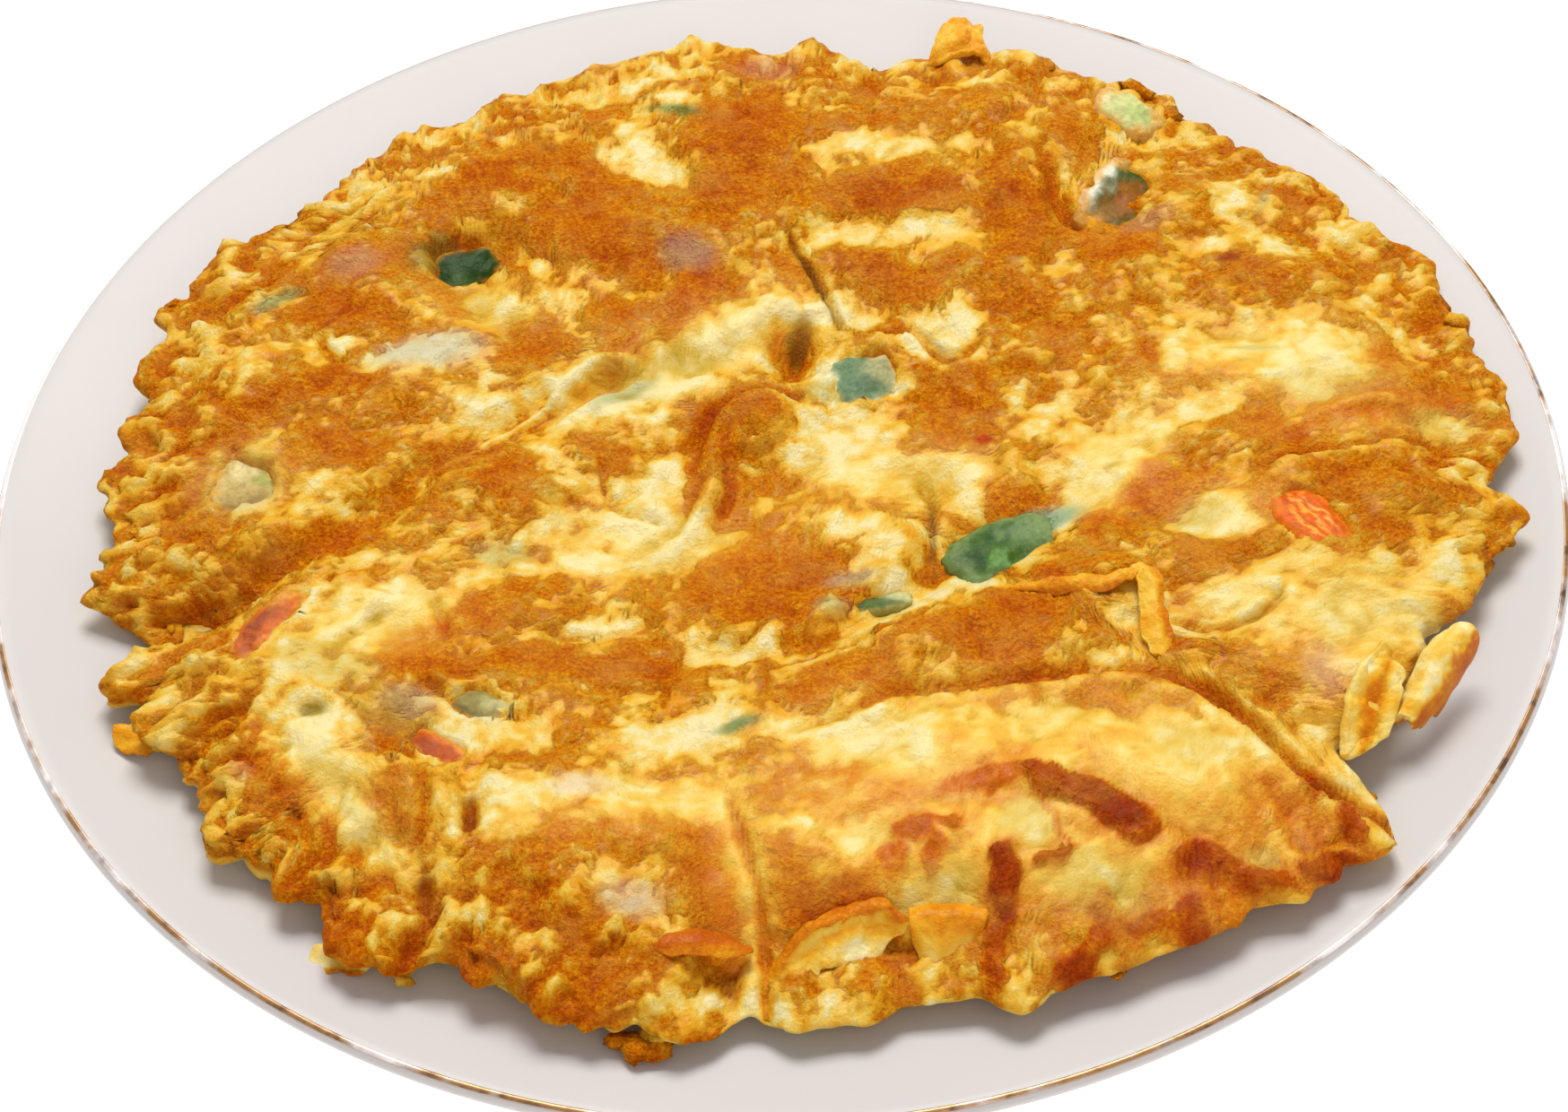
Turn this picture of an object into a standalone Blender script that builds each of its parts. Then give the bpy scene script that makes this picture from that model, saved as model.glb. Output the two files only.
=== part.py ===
"""A round pan-fried vegetable omelette lying on a white porcelain dinner plate.

Run it with: blender --background --python part.py

The plate is turned. The omelette is one solid: a grid bent into a disc, with its lobed edge, mounds,
hollows and folds given by named sizes, and with its curled flaps joined on. Each large vegetable or ham
piece that shows in the egg is an object of its own, and sits in a pocket cut for it.

The script works in metres with +Z up. The origin is the middle of the plate's base.
"""

import math

import bmesh
import bpy
import numpy as np
from mathutils import Matrix, Vector

MM = 0.001

# Plate: a 270 mm dinner plate with a flat well, a broad sloping flange and a foot ring.
RIM_R = 135 * MM
RIM_Z = 20 * MM
WELL_Z = 6 * MM
WELL_R = 78 * MM
SHOULDER_R = 104 * MM
WALL_RISE = 5 * MM
FLANGE_POWER = 1.4
PLATE_WALL = 3.8 * MM
LIP_R = 1.4 * MM
FOOT_OUTER_R = 86 * MM
FOOT_INNER_R = 79 * MM
FOOT_H = 2.2 * MM
PLATE_STEPS = 48

# Omelette: the top surface and the edge that rounds over and tucks under.
GRID_CELLS = 42
FRONT_CROWDING = 0.16
NARROWEST_FOLD = 6.5 * MM
TOP_SHARE = 0.86
TOP_Z = 25.5 * MM
CREST_RISE = 1.2 * MM
CREST_R = 85 * MM
EDGE_ROUND = 9 * MM
EDGE_DROP = 3 * MM
PLATE_GAP = 0.6 * MM
EDGE_LIFT = 2.2 * MM
TUCK_UNDER = 14 * MM
INNERMOST_TUCK_R = 100 * MM
UNDERSIDE_RINGS = (90 * MM, WELL_R)
PIECE_GAP = 0.35 * MM
FLAP_ROWS = 4
FLAP_COLUMNS = 7
FLAP_ROOT_DEPTH = 1.6 * MM

# Set-in pieces: sides in plan, and the section from the bottom up as shares of half the width and thickness.
CHUNK_SIDES = 10
CHUNK_SECTION = ((0.6, -1), (1, -0.5), (0.97, 0.4), (0.7, 0.85), (0.25, 1))

# Distance of the omelette's edge from the plate's middle, in mm, every 10 degrees from +X.
EDGE_RADII = (
    128, 127, 125, 124, 123, 122, 120, 116, 110, 116, 117, 116,
    113, 111, 114, 118, 118, 115, 116, 118, 119, 116, 119, 121,
    119, 114, 117, 112, 111, 118, 119, 126, 120, 119, 123, 127,
)

# Splits in the edge: bearing in degrees, depth in mm, half width in degrees.
NOTCHES = (
    (77.0, 3, 3.0),
    (196.5, 10, 2.6),
    (211.5, 3, 2.5),
    (243.0, 6, 2.6),
    (266.0, 5, 2.6),
    (319.5, 8, 2.6),
)

# Small unevenness. Round the edge: waves in a turn, height in mm, phase. Over the top: wavelength in mm,
# direction in degrees, height in mm.
EDGE_WAVES = ((23, 1.1, 0.4), (34, 0.9, 2.1), (45, 0.5, 4.0))
TOP_WAVES = ((31, 15, 0.35), (23, 78, 0.35), (18, 132, 0.3), (14, 50, 0.25))

# Swellings and hollows of the top: middle x and y, half length, half width, turn in degrees, rise, in mm.
MOUNDS = {
    "front_right_lobe": (40, -82, 42, 20, -4, 6.0),
    "front_left_lobe": (-31, -88, 24, 18, -8, 4.0),
    "left_front_band": (-74, -62, 34, 13, -48, 2.5),
    "right_front_lobe": (94, -52, 24, 18, 35, 3.0),
    "right_shoulder": (100, -18, 19, 22, 0, 2.0),
    "left_shoulder": (-92, 16, 14, 30, 4, 2.2),
    "upper_left_mound": (-62, 66, 26, 14, 32, 3.4),
    "upper_middle_mound": (-6, 72, 22, 28, 0, 2.0),
    "upper_right_mound": (42, 70, 22, 26, 0, 1.6),
    "middle_band": (28, -45, 50, 9, 24, 2.2),
    "crust_tongue": (-4, 8, 8, 9, 30, 4.0),
    "tongue_tail": (-13, -7, 4, 10, -10, 2.2),
    "middle_left_swell": (-45, -3, 20, 10, 20, 1.6),
    "middle_cake": (12, -19, 14, 12, 0, 2.0),
}
HOLLOWS = {
    "middle_basin": (-2, -16, 58, 30, 12, -3.0),
    "hub_pit": (2, 25, 5, 7, 10, -7.0),
    "left_pocket": (-91, 0, 9, 11, 0, -5.5),
    "left_step": (-96, -28, 12, 9, 20, -4.0),
    "upper_left_pocket": (-53, 49, 9, 7, 20, -4.0),
    "upper_right_pocket": (60, 60, 8, 12, -20, -3.5),
    "leaf_valley": (38, -22, 16, 8, 25, -2.5),
    "flap_foot": (8, -104, 14, 7, 10, -2.5),
}
# Folds and splits: route through x and y, half width, depth where it starts and where it ends, in mm.
FOLDS = {
    "left_valley": (((-108, -34), (-94, -26), (-76, -16), (-58, 0), (-42, 12), (-26, 20), (-6, 26)), 5, 6, 3.5),
    "hub_split": (((3, 58), (8, 44), (13, 30)), 3, 3, 4),
    "hub_right_fold": (((14, 31), (24, 30), (32, 21)), 3, 3, 3),
    "cake_split": (((24, -8), (26, -17), (25, -28)), 3, 4, 4),
    "cake_foot_fold": (((28, -24), (18, -36), (4, -44), (-14, -47)), 5, 3, 2),
    "lobe_back_fold": (((-4, -67), (18, -59), (38, -56), (56, -56), (68, -62), (76, -73), (88, -84)), 6.5, 4.5, 7.5),
    "front_split": (((-8, -66), (-10, -82), (-8, -97), (-6, -110), (-6, -122)), 6.5, 4, 8),
    "left_front_split": (((-68, -62), (-58, -74), (-51, -84), (-54, -96), (-54, -112)), 6.5, 1.5, 6),
    "left_notch_fold": (((-84, -60), (-94, -64), (-104, -68)), 4, 2, 5),
    "right_arc_fold": (((56, -44), (68, -48), (78, -47), (88, -40)), 3.5, 2, 3.5),
    "right_shoulder_fold": (((64, -12), (78, -3), (92, -6), (108, -8), (120, -12)), 4, 1.5, 3),
    "back_notch_fold": (((20, 90), (22, 100), (24, 112)), 3.5, 1, 5),
}

# Flaps of egg that curl off the omelette, in mm: points along the root and along the free lip, the lip's
# height above the egg at its root, the height of the arch between them, and the thickness.
FLAPS = {
    "front_curl": (
        ((-5, -98), (3, -96), (10, -95), (18, -98)),
        ((-5, -111), (4, -110), (12, -108), (19, -107)),
        3.0,
        4.0,
        2.6,
    ),
    "front_left_lip": (
        ((-26, -98), (-16, -96), (-8, -99)),
        ((-25, -107), (-15, -110), (-7, -107)),
        0.0,
        2.5,
        2.4,
    ),
    "right_lower_curl": (
        ((85, -71), (89, -61), (95, -52)),
        ((92, -76), (98, -65), (102, -56)),
        4.0,
        2.5,
        2.4,
    ),
    "right_upper_curl": (
        ((98, -56), (104, -48), (111, -41)),
        ((103, -61), (110, -53), (116, -47)),
        3.5,
        2.5,
        2.4,
    ),
    "back_curl": (
        ((33, 98), (39, 99), (45, 98)),
        ((35, 107), (40, 111), (44, 107)),
        1.5,
        3.0,
        2.8,
    ),
    "torn_strip": (
        ((38, -34), (48, -35), (57, -34), (65, -37), (67, -48)),
        ((38, -38), (48, -41), (55, -43), (59, -46), (61, -53)),
        2.4,
        1.6,
        2.0,
    ),
}

# Pieces set in the egg: x, y, length, width, thickness, turn in degrees, tilt in degrees, how far it stands out.
CHUNKS = {
    "pepper_upper_right": (65, 60, 20, 13, 6, 62, 10, 1.2, "pepper"),
    "pepper_hub": (14, 18, 13, 11, 6, 20, 8, 1.6, "pepper"),
    "pepper_upper_left": (-54, 50, 12, 9, 5, 35, 6, 1.2, "pepper"),
    "pepper_far_right": (69, 84, 8, 13, 5, 51, 30, 1.2, "pepper"),
    "leaf_middle": (36, -25, 14, 10, 5, 40, 4, 1.8, "leaf"),
    "green_strip_middle": (15, -34, 11, 6, 4, 12, 0, 1.2, "leaf"),
    "carrot_right": (88, -26, 15, 8, 5, 118, 4, 1.2, "carrot"),
    "carrot_front_left": (-55, -65, 11, 7, 5, -38, 0, 1.4, "carrot"),
    "ham_left": (-85, -36, 17, 8, 5, 55, 4, 1.2, "ham"),
    "mushroom_front_left": (-49, -55, 11, 8, 4, -25, 0, 1.4, "mushroom"),
    "onion_left": (-90, -1, 12, 11, 5, 80, 0, 1.6, "onion"),
}

# Colour (red, green, blue), roughness and metallic value of each finish.
FINISHES = {
    "porcelain": ((0.86, 0.85, 0.84), 0.15, 0.0),
    "fried_egg": ((0.78, 0.45, 0.12), 0.55, 0.0),
    "pepper": ((0.08, 0.25, 0.13), 0.35, 0.0),
    "leaf": ((0.05, 0.24, 0.05), 0.40, 0.0),
    "carrot": ((0.82, 0.18, 0.03), 0.45, 0.0),
    "ham": ((0.45, 0.10, 0.04), 0.55, 0.0),
    "mushroom": ((0.38, 0.37, 0.26), 0.50, 0.0),
    "onion": ((0.66, 0.62, 0.40), 0.40, 0.0),
}


def finish(name):
    """The material of that name, made once."""
    material = bpy.data.materials.get(name)
    if material:
        return material
    colour, roughness, metallic = FINISHES[name]
    material = bpy.data.materials.new(name)
    material.use_nodes = True
    shader = material.node_tree.nodes["Principled BSDF"]
    shader.inputs["Base Color"].default_value = (*colour, 1.0)
    shader.inputs["Roughness"].default_value = roughness
    shader.inputs["Metallic"].default_value = metallic
    return material


def add_object(name, mesh, material_name, smooth_angle=60):
    """Links a mesh to the scene as a smooth-shaded object."""
    obj = bpy.data.objects.new(name, mesh)
    bpy.context.scene.collection.objects.link(obj)
    mesh.materials.append(finish(material_name))
    mesh.shade_smooth()
    mesh.set_sharp_from_angle(angle=math.radians(smooth_angle))
    return obj


def make_helper(obj):
    """Keeps an object out of the render: it only cuts or joins."""
    obj.hide_render = True
    obj.display_type = "WIRE"
    return obj


def smooth_step(low, high, value):
    """0 below low, 1 above high, and an S-curve between them."""
    share = np.clip((value - low) / (high - low), 0, 1)
    return share * share * (3 - 2 * share)


def plate_top(radius):
    """Height of the plate's upper surface at a distance from its axis."""
    flange_rise = RIM_Z - WELL_Z - WALL_RISE
    along_flange = np.clip((radius - WELL_R) / (RIM_R - WELL_R), 0, 1)
    return WELL_Z + WALL_RISE * smooth_step(WELL_R, SHOULDER_R, radius) + flange_rise * along_flange**FLANGE_POWER


def plate_profile():
    """The plate's half section: out along the top, round the lip, and back under the foot ring."""
    top_radii = [0, 40 * MM, *np.linspace(WELL_R, RIM_R - LIP_R, 8)]
    outline = [(r, float(plate_top(r))) for r in top_radii]
    lip_z = outline[-1][1] - LIP_R
    for degrees in (45, 0, -45, -90):
        turn = math.radians(degrees)
        outline.append((RIM_R - LIP_R + LIP_R * math.cos(turn), lip_z + LIP_R * math.sin(turn)))
    for r in np.linspace(RIM_R - 9 * MM, FOOT_OUTER_R + 3 * MM, 5):
        outline.append((r, float(plate_top(r)) - PLATE_WALL))
    outline += [
        (FOOT_OUTER_R, FOOT_H),
        (FOOT_OUTER_R - 1 * MM, 0),
        (FOOT_INNER_R + 1 * MM, 0),
        (FOOT_INNER_R - 1 * MM, FOOT_H),
        (0, FOOT_H),
    ]
    return outline


def make_plate():
    """The plate, turned from its half section with a Screw modifier."""
    outline = plate_profile()
    mesh = bpy.data.meshes.new("plate")
    mesh.from_pydata([(r, 0, z) for r, z in outline], [(i, i + 1) for i in range(len(outline) - 1)], [])
    plate = bpy.data.objects.new("plate", mesh)
    bpy.context.scene.collection.objects.link(plate)
    mesh.materials.append(finish("porcelain"))
    screw = plate.modifiers.new("turned", "SCREW")
    screw.steps = screw.render_steps = PLATE_STEPS
    screw.use_merge_vertices = True
    screw.merge_threshold = 0.00001
    screw.use_smooth_shade = True
    return plate


def bump(x, y, middle_x, middle_y, half_length, half_width, turn, rise):
    """An oval swelling, or a hollow where rise is below 0, with a soft foot."""
    angle = math.radians(turn)
    dx, dy = x - middle_x * MM, y - middle_y * MM
    along = (dx * math.cos(angle) + dy * math.sin(angle)) / (half_length * MM)
    across = (-dx * math.sin(angle) + dy * math.cos(angle)) / (half_width * MM)
    return rise * MM * np.exp(-((along**2 + across**2) ** 1.3))


def fold(x, y, route, half_width, start_depth, end_depth):
    """A groove along a route of straight pieces, no narrower than the grid can hold."""
    points = np.array(route) * MM
    lengths = np.linalg.norm(np.diff(points, axis=0), axis=1)
    reached = np.concatenate([[0], np.cumsum(lengths)]) / lengths.sum()
    cut = np.zeros_like(x)
    for i, (start, end) in enumerate(zip(points, points[1:])):
        step = end - start
        share = np.clip(((x - start[0]) * step[0] + (y - start[1]) * step[1]) / (step @ step), 0, 1)
        away = np.hypot(x - start[0] - share * step[0], y - start[1] - share * step[1])
        along = reached[i] + share * (reached[i + 1] - reached[i])
        depth = start_depth + (end_depth - start_depth) * along
        cut = np.maximum(cut, depth * MM * np.exp(-((away / max(half_width * MM, NARROWEST_FOLD)) ** 2)))
    return -cut


def edge_radius(bearing):
    """Distance from the plate's axis to the omelette's edge, at a bearing in radians."""
    degrees = np.degrees(bearing) % 360
    knots = np.arange(0, 361, 10)
    radii = np.array([*EDGE_RADII, EDGE_RADII[0]], float)
    radius = np.interp(degrees, knots, radii)
    for middle, depth, half_width in NOTCHES:
        away = (degrees - middle + 180) % 360 - 180
        radius = radius - depth * np.exp(-((away / half_width) ** 2))
    for waves, height, phase in EDGE_WAVES:
        radius = radius + height * np.sin(waves * bearing + phase)
    return radius * MM


def unevenness(x, y):
    """Small lumps and dips spread over the whole top, as crossing waves."""
    height = 0
    for wavelength, direction, amplitude in TOP_WAVES:
        angle = math.radians(direction)
        along = x * math.cos(angle) + y * math.sin(angle)
        height = height + amplitude * MM * np.sin(2 * math.pi * along / (wavelength * MM))
    return height


def top_height(x, y):
    """Height of the omelette's upper surface, away from its rounded edge."""
    radius = np.hypot(x, y)
    height = TOP_Z + CREST_RISE * smooth_step(0.4 * CREST_R, CREST_R, radius) + unevenness(x, y)
    for swelling in (*MOUNDS.values(), *HOLLOWS.values()):
        height = height + bump(x, y, *swelling)
    for route, half_width, start_depth, end_depth in FOLDS.values():
        height = height + fold(x, y, route, half_width, start_depth, end_depth)
    return height


def underside(radius):
    """Height of the omelette's underside, which follows the plate."""
    return plate_top(radius) + PLATE_GAP


def square_to_disc(a, b):
    """Bends a square grid, -1 to 1 each way, into a disc: its share of the radius and its bearing."""
    share = np.maximum(np.abs(a), np.abs(b))
    safe_a, safe_b = np.where(a == 0, 1, a), np.where(b == 0, 1, b)
    side_on = np.abs(a) > np.abs(b)
    bearing = np.where(side_on, math.pi / 4 * b / safe_a, math.pi / 2 - math.pi / 4 * a / safe_b)
    turned_back = np.where(side_on, a < 0, b < 0)
    bearing = np.where(share == 0, 0, bearing + np.where(turned_back, math.pi, 0))
    return share, bearing


def shoulder_height(x, y, share):
    """Height of the top, with its fall towards the rounded edge; share is 1 where the rounding starts."""
    return top_height(x, y) - EDGE_DROP * smooth_step(0.8, 1.0, share) ** 2


def surface_height(x, y):
    """Height of the finished upper surface at one point, also on the rounded edge."""
    radius, bearing = math.hypot(x, y), math.atan2(y, x)
    reach = float(edge_radius(bearing))
    shoulder = reach - EDGE_ROUND
    on_top = min(radius, shoulder)
    spot = np.array([on_top * math.cos(bearing)]), np.array([on_top * math.sin(bearing)])
    high = float(shoulder_height(*spot, on_top / shoulder)[0])
    turn = math.asin(min((radius - on_top) / EDGE_ROUND, 1))
    low = float(underside(radius)) + EDGE_LIFT * math.sin(turn)
    return high + (low - high) * (1 - math.cos(turn)) / 2


def place_on_omelette(a, b):
    """Where a point of the square grid lies: on the top, or on the edge that rounds over and tucks under."""
    share, bearing = square_to_disc(a, b)
    reach = edge_radius(bearing)
    shoulder = reach - EDGE_ROUND
    on_top = np.clip(share / TOP_SHARE, 0, 1) * shoulder
    turn = math.pi * np.clip((share - TOP_SHARE) / (1 - TOP_SHARE), 0, 1)
    tuck = np.where(turn > math.pi / 2, TUCK_UNDER * (1 - np.sin(turn)), 0)
    radius = on_top + (reach - on_top) * np.sin(turn) * (turn > 0) - tuck
    radius = np.where(turn > math.pi / 2, np.maximum(radius, INNERMOST_TUCK_R), radius)
    x, y = radius * np.cos(bearing), radius * np.sin(bearing)
    shoulder_z = shoulder_height(on_top * np.cos(bearing), on_top * np.sin(bearing), on_top / shoulder)
    foot_z = underside(radius) + EDGE_LIFT * np.sin(turn)
    z = shoulder_z + (foot_z - shoulder_z) * (1 - np.cos(turn)) / 2
    return x, y, np.maximum(z, foot_z)


def make_omelette_body():
    """The omelette without its flaps and pockets: the bent grid, closed underneath by rings and a flat floor."""
    shape = bmesh.new()
    bmesh.ops.create_grid(shape, x_segments=GRID_CELLS, y_segments=GRID_CELLS, size=1)
    grid = np.array([v.co for v in shape.verts])
    crowded = grid[:, 1] - FRONT_CROWDING * (1 - grid[:, 1] ** 2)
    placed = np.stack(place_on_omelette(grid[:, 0], crowded), axis=1)
    for vertex, point in zip(shape.verts, placed):
        vertex.co = point
    rim = [e for e in shape.edges if e.is_boundary]
    for ring_radius in UNDERSIDE_RINGS:
        grown = bmesh.ops.extrude_edge_only(shape, edges=rim)["geom"]
        for vertex in (g for g in grown if isinstance(g, bmesh.types.BMVert)):
            outward = Vector((vertex.co.x, vertex.co.y, 0)).normalized()
            vertex.co = outward * ring_radius
            vertex.co.z = float(underside(ring_radius))
        rim = [g for g in grown if isinstance(g, bmesh.types.BMEdge) and g.is_boundary]
    bmesh.ops.contextual_create(shape, geom=rim)
    bmesh.ops.triangulate(shape, faces=shape.faces, quad_method="SHORT_EDGE")
    bmesh.ops.recalc_face_normals(shape, faces=shape.faces)
    mesh = bpy.data.meshes.new("omelette")
    shape.to_mesh(mesh)
    shape.free()
    return add_object("omelette", mesh, "fried_egg")


def smooth_line(points, count):
    """Points evenly spaced in step along a smooth line through a few given ones."""
    knots = np.array(points, float)
    padded = np.vstack([2 * knots[0] - knots[1], knots, 2 * knots[-1] - knots[-2]])
    line = []
    for step in np.linspace(0, len(knots) - 1, count):
        i = min(int(step), len(knots) - 2)
        t = step - i
        before, start, end, after = padded[i : i + 4]
        slope = end - before
        bend = 2 * before - 5 * start + 4 * end - after
        twist = 3 * start - before - 3 * end + after
        line.append(0.5 * (2 * start + slope * t + bend * t**2 + twist * t**3))
    return np.array(line)


def make_flap(name, root, lip, lip_rise, arch, thickness):
    """A sheet of egg from its root, buried in the omelette, up over an arch to its free lip."""
    shape = bmesh.new()
    rings = []
    for share in np.linspace(0, 1, FLAP_ROWS):
        ring = []
        for start, end in zip(smooth_line(root, FLAP_COLUMNS), smooth_line(lip, FLAP_COLUMNS)):
            x, y = (start + (end - start) * share) * MM
            foot = surface_height(*(start * MM)) - FLAP_ROOT_DEPTH
            rise = (lip_rise * share + 4 * arch * share * (1 - share)) * MM
            ring.append(shape.verts.new((x, y, foot + FLAP_ROOT_DEPTH * share + rise)))
        rings.append(ring)
    for low, high in zip(rings, rings[1:]):
        for i in range(FLAP_COLUMNS - 1):
            shape.faces.new((low[i], low[i + 1], high[i + 1], high[i]))
    mesh = bpy.data.meshes.new(name)
    shape.to_mesh(mesh)
    shape.free()
    flap = make_helper(add_object(name, mesh, "fried_egg"))
    wall = flap.modifiers.new("thickness", "SOLIDIFY")
    wall.thickness = thickness * MM
    wall.offset = 0
    return flap


def chunk_shape(length, width, thickness, swollen=0.0):
    """A cut piece with rounded corners and edges, a little narrower at one end and domed on top."""
    shape = bmesh.new()
    rings = []
    for reach, level in CHUNK_SECTION:
        ring = []
        for i in range(CHUNK_SIDES):
            turn = 2 * math.pi * i / CHUNK_SIDES
            fullness = (abs(math.cos(turn)) ** 3 + abs(math.sin(turn)) ** 3) ** (-1 / 3)
            x = reach * fullness * math.cos(turn)
            y = reach * fullness * math.sin(turn) * (1 - 0.12 * x)
            ring.append(shape.verts.new(Vector((x * length, y * width, level * thickness)) * MM / 2))
        rings.append(ring)
    for low, high in zip(rings, rings[1:]):
        for i in range(CHUNK_SIDES):
            after = (i + 1) % CHUNK_SIDES
            shape.faces.new((low[i], low[after], high[after], high[i]))
    shape.faces.new(rings[0][::-1])
    shape.faces.new(rings[-1])
    if swollen:
        shape.normal_update()
        grown = [v.co + v.normal * swollen * v.calc_shell_factor() for v in shape.verts]
        for vertex, point in zip(shape.verts, grown):
            vertex.co = point
    return shape


def make_chunk(name, x, y, length, width, thickness, turn, tilt, stand_out, kind, swollen=0.0):
    """One vegetable or ham piece, sunk in the egg so that its top stands out a little."""
    shape = chunk_shape(length, width, thickness, swollen)
    surface = surface_height(x * MM, y * MM)
    place = (
        Matrix.Translation((x * MM, y * MM, surface + (stand_out - thickness / 2) * MM))
        @ Matrix.Rotation(math.radians(turn), 4, "Z")
        @ Matrix.Rotation(math.radians(tilt), 4, "Y")
    )
    bmesh.ops.transform(shape, matrix=place, verts=shape.verts)
    mesh = bpy.data.meshes.new(name)
    shape.to_mesh(mesh)
    shape.free()
    return add_object(name, mesh, kind)


def combine(obj, other, operation):
    """Adds a Boolean modifier that joins or cuts obj with a helper."""
    step = obj.modifiers.new(other.name, "BOOLEAN")
    step.operation = operation
    step.object = other
    step.solver = "EXACT"


def make_omelette():
    """The omelette with its flaps joined on and a pocket cut for each piece that shows in it."""
    omelette = make_omelette_body()
    for name, sizes in FLAPS.items():
        combine(omelette, make_flap(f"{name}_helper", *sizes), "UNION")
    for name, sizes in CHUNKS.items():
        pocket = make_chunk(f"{name}_pocket", *sizes, swollen=PIECE_GAP)
        combine(omelette, make_helper(pocket), "DIFFERENCE")
    return omelette


def main():
    for obj in list(bpy.data.objects):
        bpy.data.objects.remove(obj)
    make_plate()
    make_omelette()
    for name, sizes in CHUNKS.items():
        make_chunk(name, *sizes)


if __name__ == "__main__":
    main()
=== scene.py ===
"""The looks of a round pan-fried vegetable omelette lying on its white porcelain dinner plate.

Every piece is built in millimetres from named sizes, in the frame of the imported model. The omelette is
one skin of egg bent round its lobed form, with a level of browning held at each of its points. Its
curls, its crisp edge, its crumbs and the vegetables set in it are pieces of their own.
"""

import logging
import math
from collections.abc import Callable
from dataclasses import dataclass, field
from enum import Enum

import bpy
import numpy as np
from mathutils import Matrix, Vector


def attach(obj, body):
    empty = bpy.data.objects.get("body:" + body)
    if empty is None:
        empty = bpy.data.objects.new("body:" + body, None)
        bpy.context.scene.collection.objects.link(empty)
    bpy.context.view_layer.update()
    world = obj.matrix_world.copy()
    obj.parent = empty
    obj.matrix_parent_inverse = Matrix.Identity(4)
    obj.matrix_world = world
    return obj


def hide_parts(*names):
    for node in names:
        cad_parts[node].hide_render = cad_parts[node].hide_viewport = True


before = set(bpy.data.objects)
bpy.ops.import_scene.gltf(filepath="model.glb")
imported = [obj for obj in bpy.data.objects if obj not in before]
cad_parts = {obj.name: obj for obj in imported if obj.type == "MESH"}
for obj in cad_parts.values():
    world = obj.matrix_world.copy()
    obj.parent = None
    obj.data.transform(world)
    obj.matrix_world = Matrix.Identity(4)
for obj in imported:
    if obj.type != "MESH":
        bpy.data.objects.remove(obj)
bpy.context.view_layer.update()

log = logging.getLogger("omelette")

MM = 0.001
BODY = "root"
Points = np.ndarray
Numbers = np.ndarray
Piece = bpy.types.Object
Finish = bpy.types.Material
Tree = bpy.types.NodeTree
Node = bpy.types.Node


class Slot(Enum):
    """What a piece is made of, by the name that the part gives it."""

    FRIED_EGG = "fried_egg"
    PORCELAIN = "porcelain"
    PEPPER = "pepper"
    LEAF = "leaf"
    CARROT = "carrot"
    HAM = "ham"
    MUSHROOM = "mushroom"
    ONION = "onion"


# ---------------------------------------------------------------------------------------------------
# Small tools


def linear(colour: str) -> tuple[float, float, float, float]:
    """Turns an sRGB hex colour to linear red, green, blue and alpha.

    Args:
        colour: six hex digits after a hash sign.

    Returns:
        The linear colour, with an alpha of 1.
    """
    parts = [int(colour[i : i + 2], 16) / 255 for i in (1, 3, 5)]
    red, green, blue = [p / 12.92 if p <= 0.04045 else ((p + 0.055) / 1.055) ** 2.4 for p in parts]
    return red, green, blue, 1.0


def smooth_step(low: float, high: float, value: Numbers) -> Numbers:
    """Gives 0 below low, 1 above high, and an S-curve between them."""
    share = np.clip((value - low) / (high - low), 0, 1)
    return share * share * (3 - 2 * share)


def each_of(kind: Callable, *rows: tuple) -> tuple:
    """Makes one thing of a kind from each row of its values, in the order of its fields."""
    return tuple(kind(*row) for row in rows)


def deselect_all() -> None:
    """Leaves edit mode and deselects every object."""
    if bpy.context.object and bpy.context.object.mode != "OBJECT":
        bpy.ops.object.mode_set(mode="OBJECT")
    bpy.ops.object.select_all(action="DESELECT")


def new_piece(name: str, mesh: bpy.types.Mesh) -> Piece:
    """Adds an object for a mesh, selected alone and active.

    Args:
        name: the piece's name.
        mesh: its mesh.

    Returns:
        The new object.
    """
    deselect_all()
    piece = bpy.data.objects.new(name, mesh)
    bpy.context.collection.objects.link(piece)
    bpy.context.view_layer.objects.active = piece
    piece.select_set(True)
    return piece


def read_points(obj: Piece) -> Points:
    """Reads a mesh object's points.

    Args:
        obj: the object.

    Returns:
        Its points in mm, one row each.
    """
    flat = np.empty(len(obj.data.vertices) * 3)
    obj.data.vertices.foreach_get("co", flat)
    return flat.reshape(-1, 3) / MM


def write_points(obj: Piece, points: Points) -> None:
    """Moves a mesh object's points to new places, given in mm."""
    obj.data.vertices.foreach_set("co", (points * MM).ravel())
    obj.data.update()


def write_level(obj: Piece, name: str, values: Numbers) -> None:
    """Stores one number at each point of a mesh, for its material to read."""
    layer = obj.data.attributes.new(name, "FLOAT", "POINT")
    layer.data.foreach_set("value", np.asarray(values, dtype=np.float32))


def write_colour(obj: Piece, name: str, colours: Points) -> None:
    """Stores one linear colour at each point of a mesh, for its material to read."""
    layer = obj.data.attributes.new(name, "FLOAT_COLOR", "POINT")
    layer.data.foreach_set("color", np.asarray(colours, dtype=np.float32).ravel())


def smooth_line(knots: tuple, count: int) -> Points:
    """Runs a smooth line through a few points.

    Args:
        knots: the points it passes through, in any number of dimensions.
        count: how many points to return, evenly spaced in step.

    Returns:
        The points along the line.
    """
    given = np.array(knots, dtype=float)
    padded = np.vstack([2 * given[0] - given[1], given, 2 * given[-1] - given[-2]])
    steps = np.linspace(0, len(given) - 1, count)
    first = np.minimum(steps.astype(int), len(given) - 2)
    share = (steps - first)[:, None]
    before, start, end, after = (padded[first + i] for i in range(4))
    slope = end - before
    bend = 2 * before - 5 * start + 4 * end - after
    twist = 3 * start - before - 3 * end + after
    return 0.5 * (2 * start + slope * share + bend * share**2 + twist * share**3)


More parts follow.
